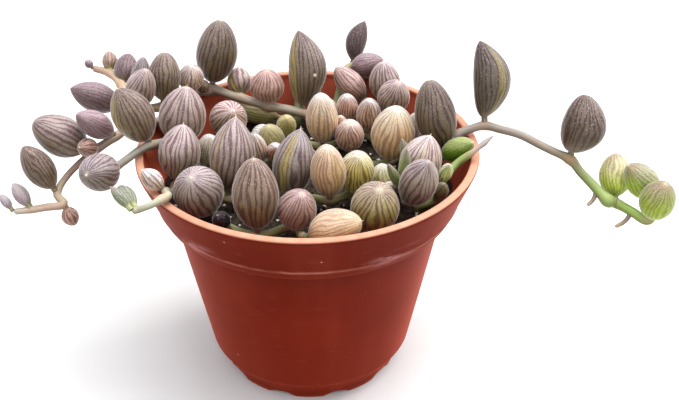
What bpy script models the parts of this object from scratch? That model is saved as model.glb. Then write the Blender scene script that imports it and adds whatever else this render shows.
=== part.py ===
"""Potted string of watermelons (Curio herreanus): a trailing succulent in a terracotta-coloured plastic pot.

The pot is a turned thin shell with a flared collar, a raised floor with drain holes and a scalloped foot ring.
The soil fills it to just below the rim, with a plain hole for each rooted stem. Each leafy stem is one solid:
a tube through its nodes, with plump pointed leaves and a few aerial roots fused to it.

Sizes here are in millimetres, measured from the pot's axis and from the surface it stands on, and are turned
into metres as the meshes are made. Run with: blender --background --python part.py
"""
import math
from types import SimpleNamespace

import bmesh
import bpy
import numpy as np
from mathutils import Matrix, Vector

MM = 0.001
GAP = 0.35                      # clearance kept between neighbouring solids

# Where the pot's axis stands, so that the whole plant is centred over the origin
POT_AXIS = (-5.8, -8.0)

# Pot
POT_STEPS = 36                  # facets round the pot
RIM_TOP = 66.0                  # height of the lip
RIM_RADIUS = 45.0
WALL = 1.4
COLLAR_TOP_RADIUS = 44.6
COLLAR_FOOT = 51.0              # where the flared collar ends
COLLAR_FOOT_RADIUS = 39.4
RIDGE_HEIGHT = 54.0
BODY_TOP_RADIUS = 36.7
FLOOR_UNDERSIDE = 6.8
FLOOR_TOP = 8.2
BODY_FOOT_RADIUS = 28.2
FOOT_TOP_RADIUS = 26.2
FOOT_RADIUS = 24.6              # outer edge of the face it stands on
FOOT_WALL = 1.4
FOOT_NOTCHES = 10
NOTCH_HEIGHT = 1.1
NOTCH_HALF_WIDTH = 3.8
DRAIN_HOLES = 6
DRAIN_RADIUS = 2.4
DRAIN_RING = 15.0

# Soil
SOIL_TOP = 54.8
SOIL_LUMP = 0.5                 # height of its lumps

# Stems
STEM_RADIUS = 1.15
STEM_TIP_RADIUS = 1.0
ROOT_DEPTH = 8.5                # how deep a stem stands in its hole
STEM_SPACING = 3.8              # distance between the points of a stem's curve
AERIAL_ROOT_RADIUS = 0.6

# Leaves
LEAF_SIDES = 9
SMALL_LEAF_SIDES = 7
SMALL_LEAF = 9.0                # a leaf shorter than this is small
WIDEST = 0.47                   # how far along the leaf it is widest
FULLNESS = 0.56                 # below 1 the outline is fuller than a sine
NECK_RADIUS = 0.85

# Each strand: the spot where it is rooted (x, y), then its nodes from the root outwards. A node is x, y, z and,
# where it bears a leaf, the leaf's heading, its lift, its length and its width, and last, where it is bowed
# sideways, by how much. Headings are in degrees anticlockwise from +X, lifts in degrees above level.
STRANDS = {
    "strand_front": ((-30, -10.5), [
        (-25.5, -16, 57, 250, 55, 15.5, 12.5),
        (-22.5, -21, 57),
        (-19.5, -25.3, 57, 245, 55, 6, 4.5),
        (-11.6, -29.1, 57, 102, 84, 18.5, 11.5),
        (-3.6, -25.3, 57, 300, 65, 12.5, 9.5),
        (0, -29.5, 57.3, 0, 20, 14, 9.5),
    ]),
    "strand_front_right": ((22, -2.5), [
        (19, -6.5, 57, 275, 70, 7.5, 5.5),
        (19.5, -11, 57, 320, 60, 5, 3.5),
        (18.5, -17, 57),
        (15.5, -25.7, 57, 280, 62, 14.5, 12),
    ]),
    "strand_middle": ((-25, -5), [
        (-20.5, -14.7, 57, 66, 75, 19.2, 11.5),
        (-13, -12, 57),
        (-5.3, -15, 57, 54, 71, 18, 10.6),
        (0.5, -12, 57),
        (6.3, -12.9, 57, 259, 81, 16.1, 9),
        (11.5, -9.9, 57, 275, 65, 14.8, 9.3),
    ]),
    "strand_centre": ((-29.5, 0.5), [
        (-26.5, 4, 57, 275, 65, 12, 6.5),
        (-20.5, 2.5, 57),
        (-14, 3.5, 57, 275, 70, 12, 6.5),
        (-10, 8.5, 57, 280, 50, 9, 5),
        (-9.2, 11, 57, 255, 60, 11, 7.2),
        (-3.5, 16.5, 57),
        (4, 14.5, 57, 265, 81, 16.1, 8.7),
        (8.5, 16, 57, 265, 65, 10, 5),
        (10.5, 13.5, 57, 275, 65, 10.5, 8),
    ]),
    "strand_left_centre": ((-24.5, 17.5), [
        (-24.3, 23.8, 58, 290, 45, 13, 10.5),
        (-15.5, 19, 57, 300, 30, 9, 6),
        (-6.8, 21.5, 57, 275, 55, 9, 5.5),
        (-8, 30.5, 57.3, 176, 12, 13.5, 6.5),
    ]),
    "strand_far_right": ((15.5, 5.5), [
        (21.9, 5.5, 57, 291, 73, 17.4, 11.5),
        (28.6, 16.5, 57, 270, 70, 11, 4.3),
        (27, 23.5, 57.5),
        (22, 29.5, 60, 310, 75, 11.5, 9),
        (23, 32.1, 59.9, 265, 84, 12, 9),
        (16.5, 32.5, 61.5, 150, 38, 12, 7.5),
    ]),
    "strand_back_right": ((19.5, 17.5), [
        (16, 22, 57, 275, 70, 12.5, 7),
        (10.3, 28.5, 57, 260, 70, 10, 6.4),
        (4.5, 31.5, 57.5, 250, 60, 9, 6),
    ]),
    "rosette_right": ((28, -6.5), [
        (28.2, -4.6, 58, 208, 73, 12, 3.6),
        (26.4, -9.5, 58, 334, 75, 15.5, 10.6),
        (24.5, -10.9, 58.5, 299, 84, 12, 3.2),
        (25, -12, 58.5, 215, 65, 10.5, 2.7),
        (25.3, -17.3, 58.2, 298, 63, 17.5, 9.3),
    ]),
    "shoot_green": ((28.5, -14.5), [
        (32.8, -14.4, 58, 290, 60, 7, 4),
        (34, -10.5, 61, 280, 60, 8.5, 3.5),
        (38, -8.5, 64.8),
        (43, -6, 68),
        (48, -3.5, 70.8),
    ]),
    "strand_right": ((27, 7), [
        (31, 4.5, 58.5),
        (35, 1.9, 60.8, 325, 35, 11.3, 6.2),
        (36.1, 1.2, 61.7, 159, 77, 19.5, 10.7),
        (39.5, 4.3, 66.3),
        (43, 4.8, 68),
        (46.8, 5, 69, 100, 65, 20, 10, 2.6),
        (50.5, 3, 69),
        (55.5, 1, 68.5),
        (63, -2.5, 66),
        (68.2, -4, 64, 50, 74, 15.5, 11.5, 1.6),
        (71, -6.5, 61.5),
        (74.5, -10.5, 59),
        (77.2, -12.9, 56.9),
        (79.8, -13.7, 56.8, 80, 62, 11.5, 8.6),
        (83, -15.4, 55.2),
        (86.8, -16.6, 53.6, 290, 75, 11.8, 9),
        (90.3, -12, 56.2, 174, 46, 12, 8.2),
    ]),
    "strand_back": ((6.5, 31.5), [
        (8, 37.5, 61.5),
        (10.2, 41.3, 66.9, 0, 15, 10, 7.3),
        (11.9, 43.5, 67.8, 56, 60, 12, 6.1, -0.8),
        (11, 47.8, 65),
        (10.5, 48.7, 59, 45, -25, 12, 8),
        (10, 48.7, 53, 130, -20, 11, 7.5),
        (9.5, 48.2, 47.5, 75, -50, 9, 6),
    ]),
    "strand_behind": ((-4, 31.5), [
        (-3.5, 38, 62),
        (-3, 41, 66.8),
        (-3, 44.5, 67.8),
        (-3.5, 48, 65),
        (-4, 48.8, 60, 80, -25, 12, 8),
        (-4.5, 48.8, 54, 130, -30, 11, 7.5),
        (-5, 48.5, 48, 60, -25, 10, 6.5),
        (-5, 48.2, 43.5, 80, -60, 7, 5),
    ]),
    "strand_upper_left": ((4, 24.5), [
        (1, 26, 58.5),
        (-1.2, 25.5, 61, 95, 70, 21, 10.8, 2),
        (-11.8, 26.1, 63.8, 265, 85, 10, 9.5),
        (-19.5, 27.6, 65.4, 100, 35, 8.5, 7),
        (-28.6, 28.5, 67.6, 15, 80, 18.5, 11.5),
        (-29.5, 28.3, 67.8, 250, 50, 5, 4),
        (-33.5, 26, 67.9, 285, 70, 9, 7),
        (-37, 22.5, 67.9),
        (-40, 18.3, 67.6, 60, 77, 13.5, 9),
        (-46, 17.9, 67.3, 319, 70, 12.5, 8, 0.8),
        (-47.8, 20, 68.2, 60, 68, 11, 5.5),
        (-51.2, 20.5, 66.3, 199, 30, 14.4, 8.2),
        (-53.3, 28.2, 69, 85, 25, 10, 6.6),
        (-57.3, 34, 70, 100, 35, 6, 4.5),
        (-63, 37.5, 70, 240, 55, 3, 2.5),
    ]),
    "strand_left_long": ((-28.5, 14), [
        (-36.5, 13.5, 63),
        (-40.5, 10, 67.4),
        (-44, 7.5, 68.2),
        (-47.5, 5.7, 68),
        (-50.8, 3.8, 66.5, 220, 44, 12.8, 7),
        (-55.2, 1.2, 64.3, 240, 28, 6.5, 5),
        (-57, 0.3, 63.7, 189, 36, 15.3, 10.6),
        (-62.5, -4, 59.8),
        (-65.1, -9.1, 56.8, 170, 61, 13.2, 7.7),
        (-63, -12, 55.2, 0, -72, 5.5, 4.5),
        (-68, -12, 54.2),
        (-71.5, -12, 53.5, 145, 45, 7, 4),
        (-76.5, -11.5, 52.5, 145, 40, 4.5, 2.5),
    ]),
    "strand_left_ball": ((-31, 8), [
        (-35.5, 7.5, 60.3, 20, 78, 16.5, 12.5),
        (-37.8, 3, 64.8),
        (-40.8, -2.7, 67.4, 204, 69, 17, 10.5),
        (-43, -6.3, 68),
        (-46, -9.3, 67),
        (-49, -11.5, 65.4, 255, 25, 13.5, 9.5),
    ]),
    "strand_front_left": ((-32, -1), [
        (-34.5, -5.5, 57, 45, 75, 15, 11),
        (-34, -12, 58.5),
        (-33.5, -17.5, 61.5),
        (-34.2, -22.3, 64.5, 184, 50, 7, 4.8),
        (-32.5, -26, 66.6),
        (-34, -29.2, 67.9),
        (-36.8, -31.2, 67.2),
        (-40, -31.9, 66.4, 126, 13, 8, 4.3),
        (-40.9, -32.1, 66.2, 140, 30, 6.5, 3),
    ]),
}

# Aerial roots: the strand, which of its nodes each one grows from, and where it ends, measured from that node
AERIAL_ROOTS = [
    ("strand_right", 11, (-2.4, -2.4, -3.6)),
    ("strand_right", 14, (-4.2, -2.0, -3.4)),
]

# How far along a leaf the balls are that keep it clear of its neighbours
BALL_PLACES = np.array([0.08, 0.20, 0.34, 0.48, 0.62, 0.76, 0.88, 0.97])
PROBE_SPACING = 1.6             # the same for a stem
SETTLE_STEPS = 300
EASE_STEPS = 210                # steps in which leaves and nodes are also drawn back to where they were meant
SHRINK_FROM = 230               # steps after which a leaf that is still crowded grows a little smaller
SMALLEST = 0.86                 # and the least share of its size that is left
FURTHEST = 4.0                  # how far a node may give way
NEVER = -1e6                    # a gap for pairs that may meet

# Crowded leaves and nodes give way along a line that slopes back and down, sooner than across it: each step makes
# good these shares of what they are off, across the line and along it
GIVING_SLOPE = math.radians(32.6)
GIVING_LINE = np.array([0, math.cos(GIVING_SLOPE), -math.sin(GIVING_SLOPE)])
TURN_BACK = (0.3, 0.005)
MOVE_BACK = (0.2, 0.01)

# The rim as a thick line, from (radius, height) low in the collar to the lip, and where there is soil below
RIM_LINE = np.array([(COLLAR_FOOT_RADIUS - 1.8, COLLAR_FOOT - 1.0), (RIM_RADIUS - 1.2, RIM_TOP - 1.3)])
RIM_HALF_THICKNESS = 1.3
SOIL_RADIUS = 39.0


def outline(place):
    """A leaf's radius for a width of 2, at a place from 0 at its base to 1 at its tip."""
    bend = math.log(0.5) / math.log(WIDEST)
    return np.sin(np.pi * np.clip(place, 0, 1) ** bend) ** FULLNESS


def stalk_length(length):
    return 0.9 + 0.07 * length


def heading_vector(heading, lift):
    heading, lift = np.radians(heading), np.radians(lift)
    return np.stack([np.cos(lift) * np.cos(heading), np.cos(lift) * np.sin(heading), np.sin(lift)], axis=-1)


def sideways(direction):
    """Level directions to the right of leaves that point away."""
    level = np.stack([direction[:, 1], -direction[:, 0], 1e-9 * np.ones(len(direction))], axis=1)
    return level / (np.linalg.norm(level, axis=1)[:, None] + 1e-9)


def bow_share(place):
    """How much of its bow a leaf has at a place from 0 at its base to 1 at its tip."""
    return 4 * place * (1 - place)


def strand_knots(root, nodes):
    """The points that a strand's curve follows: two where it leaves the soil, then its nodes."""
    leaving = [(*root, SOIL_TOP - 2.0), (*root, SOIL_TOP + 1.2)]
    return np.array(leaving + [node[:3] for node in nodes], float)


def curve_weights(knots, spacing):
    """How much each knot counts in each point of the smooth curve that starts at the second knot."""
    share = np.eye(len(knots))
    share = np.vstack([share, 2 * share[-1] - share[-2]])
    rows = [share[1]]
    for index in range(len(knots) - 2):
        before, start, end, after = share[index:index + 4]
        pieces = max(1, round(float(np.linalg.norm(knots[index + 2] - knots[index + 1])) / spacing))
        for t in np.arange(1, pieces + 1) / pieces:
            rows.append(0.5 * (2 * start + (end - before) * t
                               + (2 * before - 5 * start + 4 * end - after) * t * t
                               + (3 * start - before - 3 * end + after) * t * t * t))
    return np.array(rows)


def touching(points, others, reach):
    """The pairs of balls that are too close, and how far the first has to move to clear the second."""
    square = (points ** 2).sum(axis=1)[:, None] + (others ** 2).sum(axis=1)[None, :] - 2 * points @ others.T
    first, second = np.nonzero((reach > 0) & (square < reach ** 2))
    offset = points[first] - others[second]
    distance = np.linalg.norm(offset, axis=1) + 1e-9
    depth = np.clip(reach[first, second] - distance, 0, None)
    return first, second, offset * (depth / distance)[:, None]


def gathered(owner, count, values):
    """Values added up for each owner."""
    total = np.zeros((count, 3))
    np.add.at(total, owner, values)
    return total


def drawn_back(off, shares):
    """What one step makes good of how far leaves or nodes are off."""
    along = (off @ GIVING_LINE)[:, None] * GIVING_LINE
    return shares[0] * (off - along) + shares[1] * along


def wall_pushes(points, radii):
    """How far each ball has to move to clear the pot's rim and the soil."""
    low, high = RIM_LINE
    flat = np.stack([np.hypot(points[:, 0], points[:, 1]), points[:, 2]], axis=1)
    along = np.clip(((flat - low) @ (high - low)) / ((high - low) @ (high - low)), 0, 1)
    offset = flat - (low + along[:, None] * (high - low))
    distance = np.linalg.norm(offset, axis=1) + 1e-9
    depth = np.clip(radii + RIM_HALF_THICKNESS + GAP - distance, 0, None) / distance
    outward = points[:, :2] / (flat[:, :1] + 1e-9)
    push = np.zeros_like(points)
    push[:, :2] = outward * (offset[:, :1] * depth[:, None])
    push[:, 2] = offset[:, 1] * depth
    over_soil = np.clip(SOIL_TOP + SOIL_LUMP + GAP + radii - points[:, 2], 0, None)
    push[:, 2] += np.where(flat[:, 0] < SOIL_RADIUS, over_soil, 0)
    return push


def plant_arrays():
    """The strands' rows as arrays, with the first knot and the number of knots of each strand in spans."""
    plant = SimpleNamespace(knots=[], movable=[], spans=[], leaf_rows=[], leaf_knot=[], leaf_strand=[])
    for index, (root, nodes) in enumerate(STRANDS.values()):
        first = len(plant.knots)
        plant.knots += list(strand_knots(root, nodes))
        plant.movable += [0, 0] + [1] * len(nodes)
        plant.spans.append((first, len(nodes) + 2))
        for place, node in enumerate(nodes):
            if len(node) > 3:
                plant.leaf_rows.append((*node[3:7], node[7] if len(node) > 7 else 0))
                plant.leaf_knot.append(first + 2 + place)
                plant.leaf_strand.append(index)
    plant.knots = np.array(plant.knots)
    plant.movable = np.array(plant.movable, float)[:, None]
    plant.leaf_rows = np.array(plant.leaf_rows, float)
    plant.leaf_knot = np.array(plant.leaf_knot)
    plant.leaf_strand = np.array(plant.leaf_strand)
    return plant


def stem_probes(knots, spans):
    """How much each knot counts in each ball along the stems, and the strand of each ball."""
    weights, strand = [], []
    for index, (first, number) in enumerate(spans):
        own = curve_weights(knots[first:first + number], PROBE_SPACING)
        rows = np.zeros((len(own), len(knots)))
        rows[:, first:first + number] = own
        weights.append(rows)
        strand += [index] * len(own)
    return np.vstack(weights), np.array(strand)


def settled_plant():
    """Let the crowded leaves and nodes give way to each other, the soil and the rim until nothing touches.

    Leaves are rows of balls that turn about their nodes, and stems are rows of balls that carry their nodes.
    Returns for each strand its knots, and its leaves as (node, direction, length, width, bow).
    """
    plant = plant_arrays()
    knots, leaf_rows, leaf_knot = plant.knots, plant.leaf_rows, plant.leaf_knot
    weights, probe_strand = stem_probes(knots, plant.spans)
    influence = np.abs(weights).sum(axis=0)[:, None] + 1e-9

    # Leaves may press a little into others of their own strand, and their feet into its stem
    count = len(leaf_rows)
    owner = np.repeat(np.arange(count), len(BALL_PLACES))
    place = np.tile(BALL_PLACES, count)
    ball_strand = plant.leaf_strand[owner]
    leaf_gaps = np.where(ball_strand[:, None] == ball_strand[None, :], -0.4, GAP + 0.1)
    leaf_gaps = np.where(owner[:, None] == owner[None, :], NEVER, leaf_gaps)
    own_stem = ball_strand[:, None] == probe_strand[None, :]
    stem_gaps = np.where(own_stem, np.where(place[:, None] > 0.4, -0.8, NEVER), GAP + 0.1)
    stem_reach = np.where(probe_strand[:, None] == probe_strand[None, :], NEVER, 2 * STEM_RADIUS + GAP)
    stem_radii = np.full(len(probe_strand), STEM_RADIUS)
    fixed = knots[plant.movable[:, 0] == 0]
    rooted = np.linalg.norm((weights @ knots)[:, None] - fixed[None], axis=2).min(axis=1) < 2.5

    meant_knots, meant = knots.copy(), heading_vector(leaf_rows[:, 0], leaf_rows[:, 1])
    direction, size = meant.copy(), np.ones(count)
    for step in range(SETTLE_STEPS):
        length, width = leaf_rows[:, 2] * size, leaf_rows[:, 3] * size
        reach = stalk_length(length)[owner] + length[owner] * place
        points = knots[leaf_knot][owner] + direction[owner] * reach[:, None]
        points += sideways(direction)[owner] * (leaf_rows[owner, 4] * bow_share(place))[:, None]
        radii = 0.5 * width[owner] * outline(place)
        probes = weights @ knots

        first, _second, move = touching(points, points, radii[:, None] + radii[None, :] + leaf_gaps)
        push = gathered(first, len(points), 0.5 * move) + wall_pushes(points, radii)
        first, second, move = touching(points, probes, radii[:, None] + STEM_RADIUS + stem_gaps)
        push += gathered(first, len(points), 0.7 * move)
        move[own_stem[first, second]] = 0
        stem_push = gathered(second, len(probes), -0.3 * move)
        first, _second, move = touching(probes, probes, stem_reach)
        stem_push += gathered(first, len(probes), 0.5 * move)
        stem_push += np.where(rooted[:, None], 0, wall_pushes(probes, stem_radii))

        turn = gathered(owner, count, push * reach[:, None])
        direction = direction + 2.0 * turn / np.bincount(owner, reach ** 2)[:, None]
        moves = weights.T @ stem_push / influence * 2.0
        np.add.at(moves, leaf_knot, 0.18 * gathered(owner, count, push))
        knots = knots + np.clip(moves, -0.4, 0.4) * plant.movable
        if step < EASE_STEPS:
            direction = direction + drawn_back(meant - direction, TURN_BACK)
            knots = knots + drawn_back(meant_knots - knots, MOVE_BACK)
        direction /= np.linalg.norm(direction, axis=1)[:, None]
        away = knots - meant_knots
        far = np.linalg.norm(away, axis=1)[:, None] + 1e-9
        knots = meant_knots + away * np.minimum(1, FURTHEST / far)
        crowded = np.zeros(count)
        np.maximum.at(crowded, owner, np.linalg.norm(push, axis=1))
        if step >= SHRINK_FROM:
            size = np.where(crowded > 0.12, np.maximum(size - 0.003, SMALLEST), size)

    settled = {}
    for index, (name, (first, number)) in enumerate(zip(STRANDS, plant.spans)):
        leaves = [(knots[leaf_knot[i]], direction[i], leaf_rows[i, 2] * size[i], leaf_rows[i, 3] * size[i],
                   leaf_rows[i, 4]) for i in np.flatnonzero(plant.leaf_strand == index)]
        settled[name] = (knots[first:first + number], leaves)
    return settled


def stem_points(knots):
    """Points up out of the stem's hole in the soil and along its smooth curve."""
    bottom = knots[1] - (0, 0, ROOT_DEPTH + 1.2)
    return [Vector(bottom)] + [Vector(point) for point in curve_weights(knots, STEM_SPACING) @ knots]


def clear_scene():
    for item in list(bpy.data.objects):
        bpy.data.objects.remove(item, do_unlink=True)


def new_collection(name):
    group = bpy.data.collections.new(name)
    bpy.context.scene.collection.children.link(group)
    return group


def material(name, colour, roughness, metallic=0.0):
    made = bpy.data.materials.new(name)
    made.use_nodes = True
    made.diffuse_color = (*colour, 1.0)
    shader = made.node_tree.nodes["Principled BSDF"]
    shader.inputs["Base Color"].default_value = (*colour, 1.0)
    shader.inputs["Roughness"].default_value = roughness
    shader.inputs["Metallic"].default_value = metallic
    return made


def add_object(name, mesh, group):
    item = bpy.data.objects.new(name, mesh)
    item.location = (POT_AXIS[0] * MM, POT_AXIS[1] * MM, 0)
    group.objects.link(item)
    return item


def apply_modifiers(item):
    """Replace an object's mesh by its evaluated one."""
    evaluated = item.evaluated_get(bpy.context.evaluated_depsgraph_get())
    mesh = bpy.data.meshes.new_from_object(evaluated)
    item.modifiers.clear()
    item.data = mesh


def turned(name, profile, steps, group):
    """A solid of revolution: the profile, in millimetres, goes from the axis round to the axis again."""
    mesh = bpy.data.meshes.new(name)
    corners = [(radius * MM, 0, height * MM) for radius, height in profile]
    mesh.from_pydata(corners, [(i, i + 1) for i in range(len(corners) - 1)], [])
    item = add_object(name, mesh, group)
    screw = item.modifiers.new("Turn", "SCREW")
    screw.steps = screw.render_steps = steps
    screw.use_merge_vertices = True
    screw.merge_threshold = 0.00001
    screw.use_normal_calculate = False
    apply_modifiers(item)
    return item


def cylinder_cutter(name, radius, depth, matrix, group, sides=12):
    """A hidden cylinder, in millimetres, its middle and its direction given by a matrix."""
    shape = bmesh.new()
    bmesh.ops.create_cone(shape, cap_ends=True, segments=sides, radius1=radius * MM, radius2=radius * MM,
                          depth=depth * MM, matrix=matrix)
    mesh = bpy.data.meshes.new(name)
    shape.to_mesh(mesh)
    shape.free()
    item = add_object(name, mesh, group)
    item.hide_render = True
    item.display_type = "WIRE"
    return item


def boolean_group(item, group, operation):
    """Join to an object, or cut from it, everything in a collection, and then remove what was in it."""
    step = item.modifiers.new("Join", "BOOLEAN")
    step.operation = operation
    step.operand_type = "COLLECTION"
    step.collection = group
    step.solver = "EXACT"
    apply_modifiers(item)
    for used in list(group.objects):
        bpy.data.objects.remove(used, do_unlink=True)


def make_pot(group, cutters):
    inner_slope = (COLLAR_TOP_RADIUS - COLLAR_FOOT_RADIUS) / (RIM_TOP - COLLAR_FOOT)
    body_slope = (BODY_TOP_RADIUS - BODY_FOOT_RADIUS) / (COLLAR_FOOT - FLOOR_UNDERSIDE)
    floor_edge = BODY_FOOT_RADIUS - WALL + body_slope * (FLOOR_TOP - FLOOR_UNDERSIDE)
    profile = [
        (0, FLOOR_TOP),
        (floor_edge - 0.7, FLOOR_TOP),
        (floor_edge, FLOOR_TOP + 0.8),
        (BODY_TOP_RADIUS - WALL, COLLAR_FOOT - 0.2),
        (COLLAR_FOOT_RADIUS - WALL, COLLAR_FOOT + 1.2),
        (COLLAR_TOP_RADIUS - WALL - inner_slope * 1.6, RIM_TOP - 1.6),
        (RIM_RADIUS - 2.2, RIM_TOP - 0.5),
        (RIM_RADIUS - 1.8, RIM_TOP),
        (RIM_RADIUS - 0.5, RIM_TOP),
        (RIM_RADIUS, RIM_TOP - 0.5),
        (COLLAR_TOP_RADIUS, RIM_TOP - 1.6),
        (COLLAR_FOOT_RADIUS + inner_slope * (RIDGE_HEIGHT - COLLAR_FOOT) + 0.1, RIDGE_HEIGHT + 0.3),
        (COLLAR_FOOT_RADIUS + inner_slope * (RIDGE_HEIGHT - COLLAR_FOOT) + 0.3, RIDGE_HEIGHT),
        (COLLAR_FOOT_RADIUS + inner_slope * (RIDGE_HEIGHT - COLLAR_FOOT) - 0.15, RIDGE_HEIGHT - 0.5),
        (COLLAR_FOOT_RADIUS + 0.1, COLLAR_FOOT + 0.6),
        (COLLAR_FOOT_RADIUS - 0.5, COLLAR_FOOT),
        (BODY_TOP_RADIUS, COLLAR_FOOT),
        (BODY_FOOT_RADIUS, FLOOR_UNDERSIDE + 0.5),
        (BODY_FOOT_RADIUS - 0.5, FLOOR_UNDERSIDE),
        (FOOT_TOP_RADIUS, FLOOR_UNDERSIDE - 0.2),
        (FOOT_RADIUS, 0),
        (FOOT_RADIUS - FOOT_WALL, 0),
        (FOOT_TOP_RADIUS - FOOT_WALL, FLOOR_UNDERSIDE),
        (0, FLOOR_UNDERSIDE),
    ]
    pot = turned("pot", profile, POT_STEPS, group)
    arch = (NOTCH_HEIGHT ** 2 + NOTCH_HALF_WIDTH ** 2) / (2 * NOTCH_HEIGHT)
    for index in range(FOOT_NOTCHES):
        turn = Matrix.Rotation(2 * math.pi * (index + 0.5) / FOOT_NOTCHES - math.pi / 2, 4, "Z")
        place = Matrix.Translation(Vector((FOOT_RADIUS, 0, NOTCH_HEIGHT - arch)) * MM)
        cylinder_cutter("notch", arch, 7.0, turn @ place @ Matrix.Rotation(math.pi / 2, 4, "Y"), cutters, 28)
    for index in range(DRAIN_HOLES):
        angle = 2 * math.pi * index / DRAIN_HOLES
        place = Vector((DRAIN_RING * math.cos(angle), DRAIN_RING * math.sin(angle), FLOOR_TOP)) * MM
        cylinder_cutter("drain", DRAIN_RADIUS, 6.0, Matrix.Translation(place), cutters)
    cylinder_cutter("drain", DRAIN_RADIUS, 6.0, Matrix.Translation((0, 0, FLOOR_TOP * MM)), cutters)
    boolean_group(pot, cutters, "DIFFERENCE")
    return pot


def soil_lumps(x, y):
    """Height of the soil's lumps at a place, in millimetres."""
    return SOIL_LUMP * (0.6 * math.sin(0.52 * x + 1.3) * math.cos(0.47 * y) + 0.4 * math.sin(1.1 * x - 0.9 * y))


def make_soil(group, cutters):
    body_slope = (BODY_TOP_RADIUS - BODY_FOOT_RADIUS) / (COLLAR_FOOT - FLOOR_UNDERSIDE)
    bottom = FLOOR_TOP + GAP
    foot = BODY_FOOT_RADIUS - WALL - GAP + body_slope * (bottom - FLOOR_UNDERSIDE)
    profile = [(radius, SOIL_TOP) for radius in (37.9, 33.0, 25.0, 15.0, 6.0, 0.0)]
    profile = profile[::-1] + [
        (38.4, SOIL_TOP - 0.5),
        (COLLAR_FOOT_RADIUS - WALL - GAP, COLLAR_FOOT + 1.35),
        (BODY_TOP_RADIUS - WALL - GAP - 0.1, COLLAR_FOOT - 0.1),
        (foot, bottom + 0.95),
        (foot - 0.9, bottom),
        (0, bottom),
    ]
    soil = turned("soil", profile, POT_STEPS, group)
    for vertex in soil.data.vertices:
        if vertex.co.z > (SOIL_TOP - 0.1) * MM:
            vertex.co.z += soil_lumps(vertex.co.x / MM, vertex.co.y / MM) * MM
    for root, _nodes in STRANDS.values():
        place = Vector((*root, SOIL_TOP - ROOT_DEPTH / 2 + 1.5)) * MM
        depth = ROOT_DEPTH + 3.0 + 2 * GAP
        cylinder_cutter("root_hole", STEM_RADIUS + GAP + 0.15, depth, Matrix.Translation(place), cutters, 10)
    boolean_group(soil, cutters, "DIFFERENCE")
    return soil


def tube(name, points, start_radius, end_radius, group):
    """A round tube through points, as a closed mesh."""
    curve = bpy.data.curves.new(name, "CURVE")
    curve.dimensions = "3D"
    curve.bevel_depth = MM
    curve.bevel_resolution = 1
    curve.use_fill_caps = True
    spline = curve.splines.new("POLY")
    spline.points.add(len(points) - 1)
    for index, point in enumerate(points):
        thinning = max(0.0, index / (len(points) - 1) - 0.5) * 2
        spline.points[index].co = (*(point * MM), 1)
        spline.points[index].radius = start_radius + (end_radius - start_radius) * thinning
    guide = bpy.data.objects.new(name, curve)
    group.objects.link(guide)
    evaluated = guide.evaluated_get(bpy.context.evaluated_depsgraph_get())
    mesh = bpy.data.meshes.new_from_object(evaluated)
    bpy.data.objects.remove(guide, do_unlink=True)
    shape = bmesh.new()
    shape.from_mesh(mesh)
    bmesh.ops.remove_doubles(shape, verts=shape.verts, dist=0.00001)
    bmesh.ops.recalc_face_normals(shape, faces=shape.faces)
    shape.to_mesh(mesh)
    shape.free()
    mesh.name = name
    return add_object(name, mesh, group)


def make_leaf(base, direction, length, width, bow, group):
    """One leaf: a slim stalk out of the stem's middle, then a plump egg with a pointed tip."""
    small = length < SMALL_LEAF
    sides = SMALL_LEAF_SIDES if small else LEAF_SIDES
    places = (0.10, 0.40, 0.72, 0.92) if small else (0.08, 0.25, 0.45, 0.70, 0.91)
    stalk = stalk_length(length)
    neck = min(NECK_RADIUS, 0.24 * width)
    profile = [(0, 0), (neck, 0), (neck, stalk)]
    profile += [(0.5 * width * float(outline(place)), stalk + length * place) for place in places]
    profile.append((0, stalk + length))
    shape = bmesh.new()
    corners = [shape.verts.new((radius * MM, 0, height * MM)) for radius, height in profile]
    edges = [shape.edges.new(pair) for pair in zip(corners, corners[1:])]
    bmesh.ops.spin(shape, geom=corners + edges, axis=(0, 0, 1), cent=(0, 0, 0), steps=sides,
                   angle=2 * math.pi, use_merge=True)
    bmesh.ops.remove_doubles(shape, verts=shape.verts, dist=0.00001)
    bmesh.ops.recalc_face_normals(shape, faces=shape.faces)
    for corner in shape.verts:
        place = (corner.co.z / MM - stalk) / length
        corner.co.x += bow * MM * bow_share(max(0.0, place))
    side = Vector(sideways(direction[None])[0])
    along = Vector(direction)
    turn = Matrix((side, along.cross(side), along)).transposed().to_4x4()
    shape.transform(Matrix.Translation(Vector(base) * MM) @ turn)
    mesh = bpy.data.meshes.new("leaf")
    shape.to_mesh(mesh)
    shape.free()
    return add_object("leaf", mesh, group)


def make_strand(name, knots, leaves, group, joined):
    """A leafy stem: its tube with its leaves and aerial roots fused to it."""
    strand = tube(name, stem_points(knots), STEM_RADIUS, STEM_TIP_RADIUS, group)
    for leaf in leaves:
        make_leaf(*leaf, joined)
    for owner, number, reach in AERIAL_ROOTS:
        if owner == name:
            start = Vector(knots[2 + number])
            tube("aerial_root", [start, start + Vector(reach)], AERIAL_ROOT_RADIUS, AERIAL_ROOT_RADIUS, joined)
    boolean_group(strand, joined, "UNION")
    return strand


def finish(item, made, sharp_angle=35):
    item.data.materials.clear()
    item.data.materials.append(made)
    item.data.shade_smooth()
    item.data.set_sharp_from_angle(angle=math.radians(sharp_angle))


def main():
    clear_scene()
    plant = new_collection("string_of_watermelons")
    cutters = new_collection("cutters")
    joined = new_collection("joined")
    finish(make_pot(plant, cutters), material("terracotta_plastic", (0.23, 0.035, 0.013), 0.42))
    finish(make_soil(plant, cutters), material("dark_soil", (0.018, 0.013, 0.010), 0.95), 180)
    foliage = material("striped_leaf", (0.24, 0.19, 0.17), 0.5)
    young = material("green_shoot", (0.22, 0.30, 0.10), 0.5)
    for name, (knots, leaves) in settled_plant().items():
        made = young if name == "shoot_green" else foliage
        finish(make_strand(name, knots, leaves, plant, joined), made, 60)


main()
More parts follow.
